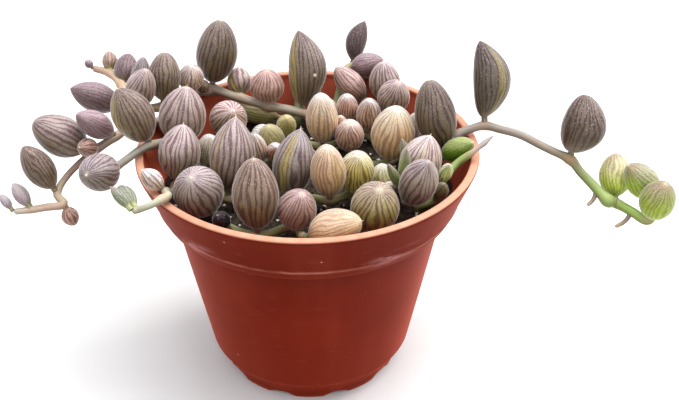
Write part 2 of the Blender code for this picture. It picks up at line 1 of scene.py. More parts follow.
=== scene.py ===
"""Looks of the potted string of watermelons: fine leaves, stems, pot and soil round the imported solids.

The strands' layout and the way that they settle are those of the part's source, so that each fine leaf and
stem lies where its solid is. Sizes are in millimetres, measured from the pot's axis and from the surface that
it stands on, and are turned into metres as the meshes are made.
"""
import math
from types import SimpleNamespace

import bmesh
import bpy
import numpy as np
from mathutils import Matrix, Vector

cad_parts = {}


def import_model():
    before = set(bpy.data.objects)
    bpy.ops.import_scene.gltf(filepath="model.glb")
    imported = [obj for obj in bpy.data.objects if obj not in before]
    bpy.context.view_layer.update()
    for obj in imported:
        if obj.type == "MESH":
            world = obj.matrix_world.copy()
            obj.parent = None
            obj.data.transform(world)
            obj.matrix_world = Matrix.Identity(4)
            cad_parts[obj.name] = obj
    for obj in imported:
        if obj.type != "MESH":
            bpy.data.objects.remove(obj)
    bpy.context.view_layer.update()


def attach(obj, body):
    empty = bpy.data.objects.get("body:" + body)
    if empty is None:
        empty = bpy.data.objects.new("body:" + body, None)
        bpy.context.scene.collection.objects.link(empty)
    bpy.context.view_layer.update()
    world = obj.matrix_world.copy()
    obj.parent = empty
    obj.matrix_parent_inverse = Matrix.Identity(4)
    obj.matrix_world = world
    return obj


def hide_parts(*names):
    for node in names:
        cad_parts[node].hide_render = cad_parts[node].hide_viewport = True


MM = 0.001
GAP = 0.35                      # clearance kept between neighbouring solids

# Where the pot's axis stands, so that the whole plant is centred over the origin
POT_AXIS = (-5.8, -8.0)

# Pot
RIM_TOP = 66.0                  # height of the lip
RIM_RADIUS = 45.0
WALL = 1.4
COLLAR_TOP_RADIUS = 44.6
COLLAR_FOOT = 51.0              # where the flared collar ends
COLLAR_FOOT_RADIUS = 39.4
RIDGE_HEIGHT = 54.0
BODY_TOP_RADIUS = 36.7
FLOOR_UNDERSIDE = 6.8
FLOOR_TOP = 8.2
BODY_FOOT_RADIUS = 28.2
FOOT_TOP_RADIUS = 26.2
FOOT_RADIUS = 24.6              # outer edge of the face it stands on
FOOT_WALL = 1.4
FOOT_NOTCHES = 10
NOTCH_HEIGHT = 1.1
NOTCH_HALF_WIDTH = 3.8
COLLAR_SLOPE = (COLLAR_TOP_RADIUS - COLLAR_FOOT_RADIUS) / (RIM_TOP - COLLAR_FOOT)
BODY_SLOPE = (BODY_TOP_RADIUS - BODY_FOOT_RADIUS) / (COLLAR_FOOT - FLOOR_UNDERSIDE)
DRAIN_HOLES = 6
DRAIN_RADIUS = 2.4
DRAIN_RING = 15.0

# Soil
SOIL_TOP = 54.8
SOIL_LUMP = 0.5                 # height of its lumps

# Stems
STEM_RADIUS = 1.15
STEM_TIP_RADIUS = 1.0
AERIAL_ROOT_RADIUS = 0.6

# Leaves
SMALL_LEAF = 9.0                # a leaf shorter than this is small
WIDEST = 0.47                   # how far along the leaf it is widest
FULLNESS = 0.56                 # below 1 the outline is fuller than a sine
NECK_RADIUS = 0.85

# Each strand: the spot where it is rooted (x, y), then its nodes from the root outwards. A node is x, y, z
# and, where it bears a leaf, the leaf's heading, its lift, its length and its width, and last, where it is
# bowed sideways, by how much. Headings are in degrees anticlockwise from +X, lifts in degrees above level.
STRANDS = {
    "strand_front": ((-30, -10.5), [
        (-25.5, -16, 57, 250, 55, 15.5, 12.5),
        (-22.5, -21, 57),
        (-19.5, -25.3, 57, 245, 55, 6, 4.5),
        (-11.6, -29.1, 57, 102, 84, 18.5, 11.5),
        (-3.6, -25.3, 57, 300, 65, 12.5, 9.5),
        (0, -29.5, 57.3, 0, 20, 14, 9.5),
    ]),
    "strand_front_right": ((22, -2.5), [
        (19, -6.5, 57, 275, 70, 7.5, 5.5),
        (19.5, -11, 57, 320, 60, 5, 3.5),
        (18.5, -17, 57),
        (15.5, -25.7, 57, 280, 62, 14.5, 12),
    ]),
    "strand_middle": ((-25, -5), [
        (-20.5, -14.7, 57, 66, 75, 19.2, 11.5),
        (-13, -12, 57),
        (-5.3, -15, 57, 54, 71, 18, 10.6),
        (0.5, -12, 57),
        (6.3, -12.9, 57, 259, 81, 16.1, 9),
        (11.5, -9.9, 57, 275, 65, 14.8, 9.3),
    ]),
    "strand_centre": ((-29.5, 0.5), [
        (-26.5, 4, 57, 275, 65, 12, 6.5),
        (-20.5, 2.5, 57),
        (-14, 3.5, 57, 275, 70, 12, 6.5),
        (-10, 8.5, 57, 280, 50, 9, 5),
        (-9.2, 11, 57, 255, 60, 11, 7.2),
        (-3.5, 16.5, 57),
        (4, 14.5, 57, 265, 81, 16.1, 8.7),
        (8.5, 16, 57, 265, 65, 10, 5),
        (10.5, 13.5, 57, 275, 65, 10.5, 8),
    ]),
    "strand_left_centre": ((-24.5, 17.5), [
        (-24.3, 23.8, 58, 290, 45, 13, 10.5),
        (-15.5, 19, 57, 300, 30, 9, 6),
        (-6.8, 21.5, 57, 275, 55, 9, 5.5),
        (-8, 30.5, 57.3, 176, 12, 13.5, 6.5),
    ]),
    "strand_far_right": ((15.5, 5.5), [
        (21.9, 5.5, 57, 291, 73, 17.4, 11.5),
        (28.6, 16.5, 57, 270, 70, 11, 4.3),
        (27, 23.5, 57.5),
        (22, 29.5, 60, 310, 75, 11.5, 9),
        (23, 32.1, 59.9, 265, 84, 12, 9),
        (16.5, 32.5, 61.5, 150, 38, 12, 7.5),
    ]),
    "strand_back_right": ((19.5, 17.5), [
        (16, 22, 57, 275, 70, 12.5, 7),
        (10.3, 28.5, 57, 260, 70, 10, 6.4),
        (4.5, 31.5, 57.5, 250, 60, 9, 6),
    ]),
    "rosette_right": ((28, -6.5), [
        (28.2, -4.6, 58, 208, 73, 12, 3.6),
        (26.4, -9.5, 58, 334, 75, 15.5, 10.6),
        (24.5, -10.9, 58.5, 299, 84, 12, 3.2),
        (25, -12, 58.5, 215, 65, 10.5, 2.7),
        (25.3, -17.3, 58.2, 298, 63, 17.5, 9.3),
    ]),
    "shoot_green": ((28.5, -14.5), [
        (32.8, -14.4, 58, 290, 60, 7, 4),
        (34, -10.5, 61, 280, 60, 8.5, 3.5),
        (38, -8.5, 64.8),
        (43, -6, 68),
        (48, -3.5, 70.8),
    ]),
    "strand_right": ((27, 7), [
        (31, 4.5, 58.5),
        (35, 1.9, 60.8, 325, 35, 11.3, 6.2),
        (36.1, 1.2, 61.7, 159, 77, 19.5, 10.7),
        (39.5, 4.3, 66.3),
        (43, 4.8, 68),
        (46.8, 5, 69, 100, 65, 20, 10, 2.6),
        (50.5, 3, 69),
        (55.5, 1, 68.5),
        (63, -2.5, 66),
        (68.2, -4, 64, 50, 74, 15.5, 11.5, 1.6),
        (71, -6.5, 61.5),
        (74.5, -10.5, 59),
        (77.2, -12.9, 56.9),
        (79.8, -13.7, 56.8, 80, 62, 11.5, 8.6),
        (83, -15.4, 55.2),
        (86.8, -16.6, 53.6, 290, 75, 11.8, 9),
        (90.3, -12, 56.2, 174, 46, 12, 8.2),
    ]),
    "strand_back": ((6.5, 31.5), [
        (8, 37.5, 61.5),
        (10.2, 41.3, 66.9, 0, 15, 10, 7.3),
        (11.9, 43.5, 67.8, 56, 60, 12, 6.1, -0.8),
        (11, 47.8, 65),
        (10.5, 48.7, 59, 45, -25, 12, 8),
        (10, 48.7, 53, 130, -20, 11, 7.5),
        (9.5, 48.2, 47.5, 75, -50, 9, 6),
    ]),
    "strand_behind": ((-4, 31.5), [
        (-3.5, 38, 62),
        (-3, 41, 66.8),
        (-3, 44.5, 67.8),
        (-3.5, 48, 65),
        (-4, 48.8, 60, 80, -25, 12, 8),
        (-4.5, 48.8, 54, 130, -30, 11, 7.5),
        (-5, 48.5, 48, 60, -25, 10, 6.5),
        (-5, 48.2, 43.5, 80, -60, 7, 5),
    ]),
    "strand_upper_left": ((4, 24.5), [
        (1, 26, 58.5),
        (-1.2, 25.5, 61, 95, 70, 21, 10.8, 2),
        (-11.8, 26.1, 63.8, 265, 85, 10, 9.5),
        (-19.5, 27.6, 65.4, 100, 35, 8.5, 7),
        (-28.6, 28.5, 67.6, 15, 80, 18.5, 11.5),
        (-29.5, 28.3, 67.8, 250, 50, 5, 4),
        (-33.5, 26, 67.9, 285, 70, 9, 7),
        (-37, 22.5, 67.9),
        (-40, 18.3, 67.6, 60, 77, 13.5, 9),
        (-46, 17.9, 67.3, 319, 70, 12.5, 8, 0.8),
        (-47.8, 20, 68.2, 60, 68, 11, 5.5),
        (-51.2, 20.5, 66.3, 199, 30, 14.4, 8.2),
        (-53.3, 28.2, 69, 85, 25, 10, 6.6),
        (-57.3, 34, 70, 100, 35, 6, 4.5),
        (-63, 37.5, 70, 240, 55, 3, 2.5),
    ]),
    "strand_left_long": ((-28.5, 14), [
        (-36.5, 13.5, 63),
        (-40.5, 10, 67.4),
        (-44, 7.5, 68.2),
        (-47.5, 5.7, 68),
        (-50.8, 3.8, 66.5, 220, 44, 12.8, 7),
        (-55.2, 1.2, 64.3, 240, 28, 6.5, 5),
        (-57, 0.3, 63.7, 189, 36, 15.3, 10.6),
        (-62.5, -4, 59.8),
        (-65.1, -9.1, 56.8, 170, 61, 13.2, 7.7),
        (-63, -12, 55.2, 0, -72, 5.5, 4.5),
        (-68, -12, 54.2),
        (-71.5, -12, 53.5, 145, 45, 7, 4),
        (-76.5, -11.5, 52.5, 145, 40, 4.5, 2.5),
    ]),
    "strand_left_ball": ((-31, 8), [
        (-35.5, 7.5, 60.3, 20, 78, 16.5, 12.5),
        (-37.8, 3, 64.8),
        (-40.8, -2.7, 67.4, 204, 69, 17, 10.5),
        (-43, -6.3, 68),
        (-46, -9.3, 67),
        (-49, -11.5, 65.4, 255, 25, 13.5, 9.5),
    ]),
    "strand_front_left": ((-32, -1), [
        (-34.5, -5.5, 57, 45, 75, 15, 11),
        (-34, -12, 58.5),
        (-33.5, -17.5, 61.5),
        (-34.2, -22.3, 64.5, 184, 50, 7, 4.8),
        (-32.5, -26, 66.6),
        (-34, -29.2, 67.9),
        (-36.8, -31.2, 67.2),
        (-40, -31.9, 66.4, 126, 13, 8, 4.3),
        (-40.9, -32.1, 66.2, 140, 30, 6.5, 3),
    ]),
}

# Aerial roots: the strand, which of its nodes each one grows from, and where it ends, measured from that node
AERIAL_ROOTS = [
    ("strand_right", 11, (-2.4, -2.4, -3.6)),
    ("strand_right", 14, (-4.2, -2.0, -3.4)),
]

# How far along a leaf the balls are that keep it clear of its neighbours
BALL_PLACES = np.array([0.08, 0.20, 0.34, 0.48, 0.62, 0.76, 0.88, 0.97])
PROBE_SPACING = 1.6             # the same for a stem
SETTLE_STEPS = 300
EASE_STEPS = 210                # steps in which leaves and nodes are also drawn back to where they were meant
SHRINK_FROM = 230               # steps after which a leaf that is still crowded grows a little smaller
SMALLEST = 0.86                 # and the least share of its size that is left
FURTHEST = 4.0                  # how far a node may give way
NEVER = -1e6                    # a gap for pairs that may meet
LEAF_FROM_STEM = 0.7            # the share of an overlap that a leaf makes good when it meets a stem
STEM_FROM_LEAF = 0.3            # and the share that the stem makes good
NODE_FROM_LEAF = 0.18           # how much of its leaf's push a node takes
YIELDING = 2.0                  # how strongly pushes turn leaves and move stems
LONGEST_STEP = 0.4              # how far a node moves at most in one step
CROWDED = 0.12                  # a leaf that is pushed harder than this is crowded
SHRINK_STEP = 0.003

# Crowded leaves and nodes give way along a line that slopes back and down, sooner than across it: each step
# makes good these shares of what they are off, across the line and along it
GIVING_SLOPE = math.radians(32.6)
GIVING_LINE = np.array([0, math.cos(GIVING_SLOPE), -math.sin(GIVING_SLOPE)])
TURN_BACK = (0.3, 0.005)
MOVE_BACK = (0.2, 0.01)

# The rim as a thick line, from (radius, height) low in the collar to the lip, and where there is soil below
RIM_LINE = np.array([(COLLAR_FOOT_RADIUS - 1.8, COLLAR_FOOT - 1.0), (RIM_RADIUS - 1.2, RIM_TOP - 1.3)])
RIM_HALF_THICKNESS = 1.3
SOIL_RADIUS = 39.0

# Leaf colours, as linear red, green and blue: where a leaf faces down, with painted shade, and where it faces
# up, with its bloom and painted light from above
TONES = {
    "mauve": ((0.300, 0.225, 0.160), (0.76, 0.62, 0.62)),
    "dark": ((0.165, 0.115, 0.056), (0.40, 0.295, 0.250)),
    "purple": ((0.170, 0.100, 0.092), (0.42, 0.29, 0.31)),
    "olive": ((0.330, 0.275, 0.070), (0.72, 0.54, 0.40)),
    "tan": ((0.360, 0.240, 0.130), (0.76, 0.54, 0.45)),
    "pink": ((0.290, 0.170, 0.115), (0.68, 0.47, 0.43)),
    "rust": ((0.280, 0.165, 0.120), (0.52, 0.35, 0.28)),
    "beige": ((0.580, 0.400, 0.190), (0.84, 0.60, 0.42)),
    "pale": ((0.500, 0.430, 0.310), (0.80, 0.71, 0.66)),
    "grey": ((0.260, 0.200, 0.215), (0.66, 0.58, 0.61)),
    "shade": ((0.170, 0.155, 0.060), (0.32, 0.29, 0.16)),
    "lime": ((0.420, 0.560, 0.030), (0.66, 0.60, 0.40)),
    "green": ((0.110, 0.210, 0.006), (0.48, 0.58, 0.22)),
    "fresh": ((0.250, 0.330, 0.120), (0.66, 0.68, 0.50)),
    "black": ((0.012, 0.008, 0.010), (0.050, 0.028, 0.036)),
}

# Each strand's leaves in the order of its rows: the tone, how bright the leaf is, and how pointed. Below 0 it
# is blunter than its solid. The brightness is partly the leaf's own lightness and partly painted light and
# shade: leaves deep in the crowd are painted lighter, and some leaves whose faces lie in shade darker.
LEAF_LOOKS = {
    "strand_front": [
        ("mauve", 0.65, -0.06), ("black", 1.0, 0.0), ("dark", 0.8, -0.06), ("pink", 0.95, -0.06),
        ("beige", 0.9, -0.06),
    ],
    "strand_front_right": [
        ("beige", 2.0, 0.03), ("pale", 1.1, 0.03), ("olive", 0.72, -0.06),
    ],
    "strand_middle": [
        ("mauve", 0.65, 0.15), ("mauve", 0.56, 0.15), ("tan", 1.3, -0.05), ("olive", 1.8, -0.05),
    ],
    "strand_centre": [
        ("pale", 1.6, 0.03), ("mauve", 1.8, 0.15), ("pink", 2.0, 0.03), ("shade", 1.8, 0.03),
        ("tan", 1.7, -0.05), ("pink", 1.9, 0.03), ("pink", 1.7, -0.05),
    ],
    "strand_left_centre": [
        ("mauve", 1.0, 0.03), ("pale", 1.8, 0.03), ("shade", 2.2, 0.03), ("shade", 1.8, 0.03),
    ],
    "strand_far_right": [
        ("tan", 1.6, -0.05), ("pale", 2.2, 0.03), ("mauve", 0.75, -0.05), ("mauve", 0.75, -0.05),
        ("pink", 1.0, 0.03),
    ],
    "strand_back_right": [
        ("mauve", 1.6, -0.05), ("pink", 2.1, -0.05), ("mauve", 1.5, 0.03),
    ],
    "rosette_right": [
        ("fresh", 0.9, 0.15), ("mauve", 1.3, 0.15), ("fresh", 0.9, 0.15), ("fresh", 1.0, 0.15),
        ("mauve", 0.75, 0.12),
    ],
    "shoot_green": [
        ("shade", 1.0, 0.10), ("fresh", 2.5, 0.10),
    ],
    "strand_right": [
        ("green", 0.9, 0.03), ("dark", 0.65, -0.05), ("dark", 0.42, 0.12), ("dark", 0.43, -0.05),
        ("lime", 0.85, -0.04), ("lime", 0.55, -0.04), ("lime", 0.60, 0.0),
    ],
    "strand_back": [
        ("purple", 0.9, 0.03), ("purple", 0.32, 0.15), ("dark", 0.8, 0.03), ("dark", 0.8, 0.03),
        ("purple", 0.8, 0.03),
    ],
    "strand_behind": [
        ("dark", 0.8, 0.03), ("purple", 0.8, 0.03), ("purple", 0.8, 0.03), ("dark", 0.8, 0.03),
    ],
    "strand_upper_left": [
        ("dark", 0.66, 0.15), ("pink", 0.9, -0.06), ("mauve", 0.75, 0.03), ("dark", 0.62, -0.06),
        ("dark", 0.9, 0.03), ("mauve", 1.25, 0.03), ("dark", 0.85, -0.06), ("mauve", 0.8, 0.03),
        ("mauve", 0.42, 0.03), ("purple", 0.75, 0.15), ("purple", 0.55, 0.03), ("tan", 0.6, 0.03),
        ("grey", 0.6, 0.03),
    ],
    "strand_left_long": [
        ("purple", 1.1, 0.15), ("rust", 0.85, 0.03), ("mauve", 0.5, -0.06), ("dark", 0.6, 0.03),
        ("rust", 1.0, 0.03), ("grey", 0.8, 0.03), ("grey", 0.8, 0.03),
    ],
    "strand_left_ball": [
        ("mauve", 0.75, 0.03), ("dark", 0.75, 0.15), ("mauve", 0.5, -0.06),
    ],
    "strand_front_left": [
        ("mauve", 0.8, 0.03), ("mauve", 1.4, 0.15), ("fresh", 0.5, 0.15), ("fresh", 0.5, 0.15),
    ],
}

# Golden windows: the strand and its leaf, then the heading that the window faces and how clear it is
WINDOWS = {
    ("strand_upper_left", 0): (222, 0.65),
    ("strand_upper_left", 2): (243, 1.0),
    ("strand_middle", 0): (225, 0.25),
    ("strand_middle", 1): (243, 0.85),
    ("strand_middle", 2): (310, 0.45),
    ("strand_middle", 3): (290, 0.25),
    ("strand_right", 2): (302, 0.36),
    ("strand_left_ball", 1): (225, 0.50),
    ("strand_left_centre", 0): (300, 0.35),
    ("rosette_right", 1): (262, 0.30),
}
WINDOW_HALF_WIDTH = 0.24        # radians of the leaf's girth

# Healed scars: the strand and its leaf, how far along the leaf, the heading that it faces and its radius
SCARS = [("strand_upper_left", 0, 0.40, 293, 0.50), ("strand_far_right", 0, 0.40, 234, 0.42)]

# Stem colours along each strand, as (share of its length, colour)
SHADED_STEM = [(0, (0.24, 0.30, 0.08)), (1, (0.38, 0.38, 0.12))]
STEM_COLOURS = {
    "strand_right": [(0, (0.26, 0.26, 0.14)), (0.12, (0.38, 0.32, 0.27)), (0.45, (0.33, 0.27, 0.23)),
                     (0.60, (0.30, 0.23, 0.13)), (0.70, (0.25, 0.36, 0.05)), (0.85, (0.31, 0.50, 0.04)),
                     (1, (0.38, 0.58, 0.07))],
    "strand_upper_left": [(0, (0.34, 0.32, 0.18)), (0.15, (0.52, 0.46, 0.36)), (0.5, (0.46, 0.39, 0.30)),
                          (0.6, (0.44, 0.36, 0.20)), (0.85, (0.64, 0.43, 0.26)), (1, (0.58, 0.35, 0.26))],
    "strand_left_long": [(0, (0.30, 0.28, 0.16)), (0.40, (0.50, 0.42, 0.32)), (0.56, (0.36, 0.24, 0.18)),
                         (0.68, (0.30, 0.16, 0.12)), (0.76, (0.44, 0.42, 0.26)), (0.86, (0.60, 0.38, 0.28)),
                         (1, (0.70, 0.62, 0.52))],
    "strand_left_ball": [(0, (0.28, 0.28, 0.16)), (0.5, (0.42, 0.40, 0.34)), (1, (0.36, 0.34, 0.28))],
    "strand_front_left": [(0, (0.22, 0.26, 0.08)), (0.55, (0.50, 0.42, 0.24)), (0.70, (0.42, 0.44, 0.32)),
                          (1, (0.46, 0.50, 0.34))],
    "shoot_green": [(0, (0.18, 0.26, 0.05)), (0.30, (0.32, 0.48, 0.09)), (0.66, (0.40, 0.56, 0.13)),
                    (0.75, (0.55, 0.36, 0.28)), (0.84, (0.34, 0.28, 0.26)), (1, (0.26, 0.20, 0.19))],
}
NODE_COLOUR = (0.52, 0.30, 0.17)

# How thick each stem is along its length, where 1 is the thickness of its solid. The green shoot ends in a
# dry husk.
STEM_GIRTHS = {
    "strand_right": [(0, 1.0), (0.60, 0.95), (0.72, 1.15), (0.90, 1.20), (1, 0.9)],
    "strand_upper_left": [(0, 1.0), (0.1, 1.12), (0.5, 1.08), (0.9, 1.2), (1, 0.9)],
    "strand_left_long": [(0, 1.0), (0.55, 0.95), (0.66, 0.78), (0.76, 0.9), (0.88, 1.0), (1, 0.8)],
    "strand_front_left": [(0, 1.0), (0.6, 1.0), (0.72, 0.82), (1, 0.8)],
    "shoot_green": [(0, 1.1), (0.4, 1.0), (0.70, 0.85), (0.78, 0.55), (0.87, 0.78), (1, 0.15)],
}

# Swollen nodes: the strand, the node, how much thicker the stem is there and its colour
SWOLLEN_NODES = [
    ("strand_front_left", 5, 0.40, (0.66, 0.50, 0.34)),
    ("strand_left_ball", 1, 0.30, (0.60, 0.46, 0.34)),
    ("strand_left_long", 6, 0.25, (0.52, 0.24, 0.18)),
    ("strand_upper_left", 2, 0.30, (0.50, 0.37, 0.27)),
    ("strand_upper_left", 4, 0.30, (0.56, 0.36, 0.27)),
    ("strand_right", 3, 0.25, (0.40, 0.33, 0.27)),
    ("strand_right", 9, 0.20, (0.46, 0.30, 0.10)),
    ("strand_right", 12, 0.45, (0.36, 0.50, 0.10)),
]
AERIAL_ROOT_COLOURS = [(0.19, 0.11, 0.08), (0.60, 0.50, 0.26)]

# Fineness of the shown meshes
GIRTH_STEPS = 36
LEAF_RINGS = 26
SMALL_GIRTH_STEPS = 26
SMALL_LEAF_RINGS = 18
STEM_SIDES = 14
FINE_STEM_SPACING = 0.7
STEM_UNEVENNESS = 0.03
STREAK_SCALE = 0.06             # length of a stem in the coordinates of its streaks
POT_FINE_STEPS = 240
SOIL_RINGS = 60
SOIL_SPOKES = 120
CRUMBS = 420
PERLITE_BITS = 170

NIB_LENGTH = 1.0                # the pale point at a leaf's tip
NIB_RADIUS = 0.26

# Camera, as fitted to the photograph: its elevation in degrees, and what it looks at, from the pot's axis
CAMERA_ELEVATION = 32.6
CAMERA_DISTANCE = 298.0
CAMERA_TARGET = (8.3, 0.0, 48.8)
FOCAL_PIXELS = 1100.0
IMAGE_WIDTH = 679
SENSOR_WIDTH = 36.0

# Length of a leaf in the coordinates of its stripes, where its girth's radius is 1
ALONG_SCALE = 1.6
COLOUR_VALUES = ("under", "upper")      # what a mesh keeps at its vertices as colours

# By tone: how dark the stripes are, the colour of a leaf's foot and stalk, and a flush near the tip
STRIPE_DEPTHS = {"black": 0.2, "green": 0.35, "pale": 0.6, "purple": 0.55, "grey": 0.3, "lime": 0.5,
                 "fresh": 0.6, "beige": 0.45, "tan": 0.6, "olive": 0.85, "pink": 0.8, "shade": 0.5}
FOOT_COLOURS = {"mauve": (0.30, 0.27, 0.13), "dark": (0.27, 0.21, 0.13), "olive": (0.42, 0.42, 0.12),
                "tan": (0.42, 0.38, 0.14), "lime": (0.34, 0.44, 0.08), "green": (0.20, 0.32, 0.05),
                "fresh": (0.42, 0.44, 0.20), "purple": (0.24, 0.18, 0.12), "rust": (0.42, 0.26, 0.18)}
TIP_COLOURS = {"lime": (0.46, 0.34, 0.20), "fresh": (0.52, 0.34, 0.34)}
# Painted light: the undersides of the leaves are lightened as painted fill light in their shade
UNDER_LIFT = 1.15               # how much the undersides of the leaves are lightened
BRIGHTEST = 0.90                # no colour of a leaf is lighter than this

LIMESCALE_PATCHES = [(-58, 14), (-134, 16)]     # headings and half widths, in degrees

# Low ribs inside the collar
INNER_RIBS = 8
RIB_HEADING = -8
RIB_HALF_WIDTH = 1.3
RIB_DEPTH = 0.5

SOIL_FILL_RADIUS = 37.9


def outline(place):
    """A leaf's radius for a width of 2, at a place from 0 at its base to 1 at its tip."""
    bend = math.log(0.5) / math.log(WIDEST)
    return np.sin(np.pi * np.clip(place, 0, 1) ** bend) ** FULLNESS


def stalk_length(length):
    return 0.9 + 0.07 * length


def heading_vector(heading, lift):
    heading, lift = np.radians(heading), np.radians(lift)
    return np.stack([np.cos(lift) * np.cos(heading), np.cos(lift) * np.sin(heading), np.sin(lift)], axis=-1)


def sideways(direction):
    """Level directions to the right of leaves that point away."""
    level = np.stack([direction[:, 1], -direction[:, 0], 1e-9 * np.ones(len(direction))], axis=1)
    return level / (np.linalg.norm(level, axis=1)[:, None] + 1e-9)


def bow_share(place):
    """How much of its bow a leaf has at a place from 0 at its base to 1 at its tip."""
    return 4 * place * (1 - place)


def strand_knots(root, nodes):
    """The points that a strand's curve follows: two where it leaves the soil, then its nodes."""
    leaving = [(*root, SOIL_TOP - 2.0), (*root, SOIL_TOP + 1.2)]
    return np.array(leaving + [node[:3] for node in nodes], float)


def curve_weights(knots, spacing):
    """How much each knot counts in each point of the smooth curve that starts at the second knot."""
    share = np.eye(len(knots))
    share = np.vstack([share, 2 * share[-1] - share[-2]])
    rows = [share[1]]
    for index in range(len(knots) - 2):
        before, start, end, after = share[index:index + 4]
        pieces = max(1, round(float(np.linalg.norm(knots[index + 2] - knots[index + 1])) / spacing))
        for t in np.arange(1, pieces + 1) / pieces:
            rows.append(0.5 * (2 * start + (end - before) * t
                               + (2 * before - 5 * start + 4 * end - after) * t * t
                               + (3 * start - before - 3 * end + after) * t * t * t))
    return np.array(rows)


def touching(points, others, reach):
    """The pairs of balls that are too close, and how far the first has to move to clear the second."""
    square = (points ** 2).sum(axis=1)[:, None] + (others ** 2).sum(axis=1)[None, :] - 2 * points @ others.T
    first, second = np.nonzero((reach > 0) & (square < reach ** 2))
    offset = points[first] - others[second]
    distance = np.linalg.norm(offset, axis=1) + 1e-9
    depth = np.clip(reach[first, second] - distance, 0, None)
    return first, second, offset * (depth / distance)[:, None]


def gathered(owner, count, values):
    """Values added up for each owner."""
    total = np.zeros((count, 3))
    np.add.at(total, owner, values)
    return total


def drawn_back(off, shares):
    """What one step makes good of how far leaves or nodes are off."""
    along = (off @ GIVING_LINE)[:, None] * GIVING_LINE
    return shares[0] * (off - along) + shares[1] * along


def wall_pushes(points, radii):
    """How far each ball has to move to clear the pot's rim and the soil."""
    low, high = RIM_LINE
    flat = np.stack([np.hypot(points[:, 0], points[:, 1]), points[:, 2]], axis=1)
    along = np.clip(((flat - low) @ (high - low)) / ((high - low) @ (high - low)), 0, 1)
    offset = flat - (low + along[:, None] * (high - low))
    distance = np.linalg.norm(offset, axis=1) + 1e-9
    depth = np.clip(radii + RIM_HALF_THICKNESS + GAP - distance, 0, None) / distance
    outward = points[:, :2] / (flat[:, :1] + 1e-9)
    push = np.zeros_like(points)
    push[:, :2] = outward * (offset[:, :1] * depth[:, None])
    push[:, 2] = offset[:, 1] * depth
    over_soil = np.clip(SOIL_TOP + SOIL_LUMP + GAP + radii - points[:, 2], 0, None)
    push[:, 2] += np.where(flat[:, 0] < SOIL_RADIUS, over_soil, 0)
    return push


def plant_arrays():
    """The strands' rows as arrays, with the first knot and the number of knots of each strand in spans."""
    plant = SimpleNamespace(knots=[], movable=[], spans=[], leaf_rows=[], leaf_knot=[], leaf_strand=[])
    for index, (root, nodes) in enumerate(STRANDS.values()):
        first = len(plant.knots)
        plant.knots += list(strand_knots(root, nodes))
        plant.movable += [0, 0] + [1] * len(nodes)
        plant.spans.append((first, len(nodes) + 2))
        for place, node in enumerate(nodes):
            if len(node) > 3:
                plant.leaf_rows.append((*node[3:7], node[7] if len(node) > 7 else 0))
                plant.leaf_knot.append(first + 2 + place)
                plant.leaf_strand.append(index)
    plant.knots = np.array(plant.knots)
    plant.movable = np.array(plant.movable, float)[:, None]
    plant.leaf_rows = np.array(plant.leaf_rows, float)
    plant.leaf_knot = np.array(plant.leaf_knot)
    plant.leaf_strand = np.array(plant.leaf_strand)
    return plant


def stem_probes(knots, spans):
    """How much each knot counts in each ball along the stems, and the strand of each ball."""
    weights, strand = [], []
    for index, (first, number) in enumerate(spans):
        own = curve_weights(knots[first:first + number], PROBE_SPACING)
        rows = np.zeros((len(own), len(knots)))
        rows[:, first:first + number] = own
        weights.append(rows)
        strand += [index] * len(own)
    return np.vstack(weights), np.array(strand)


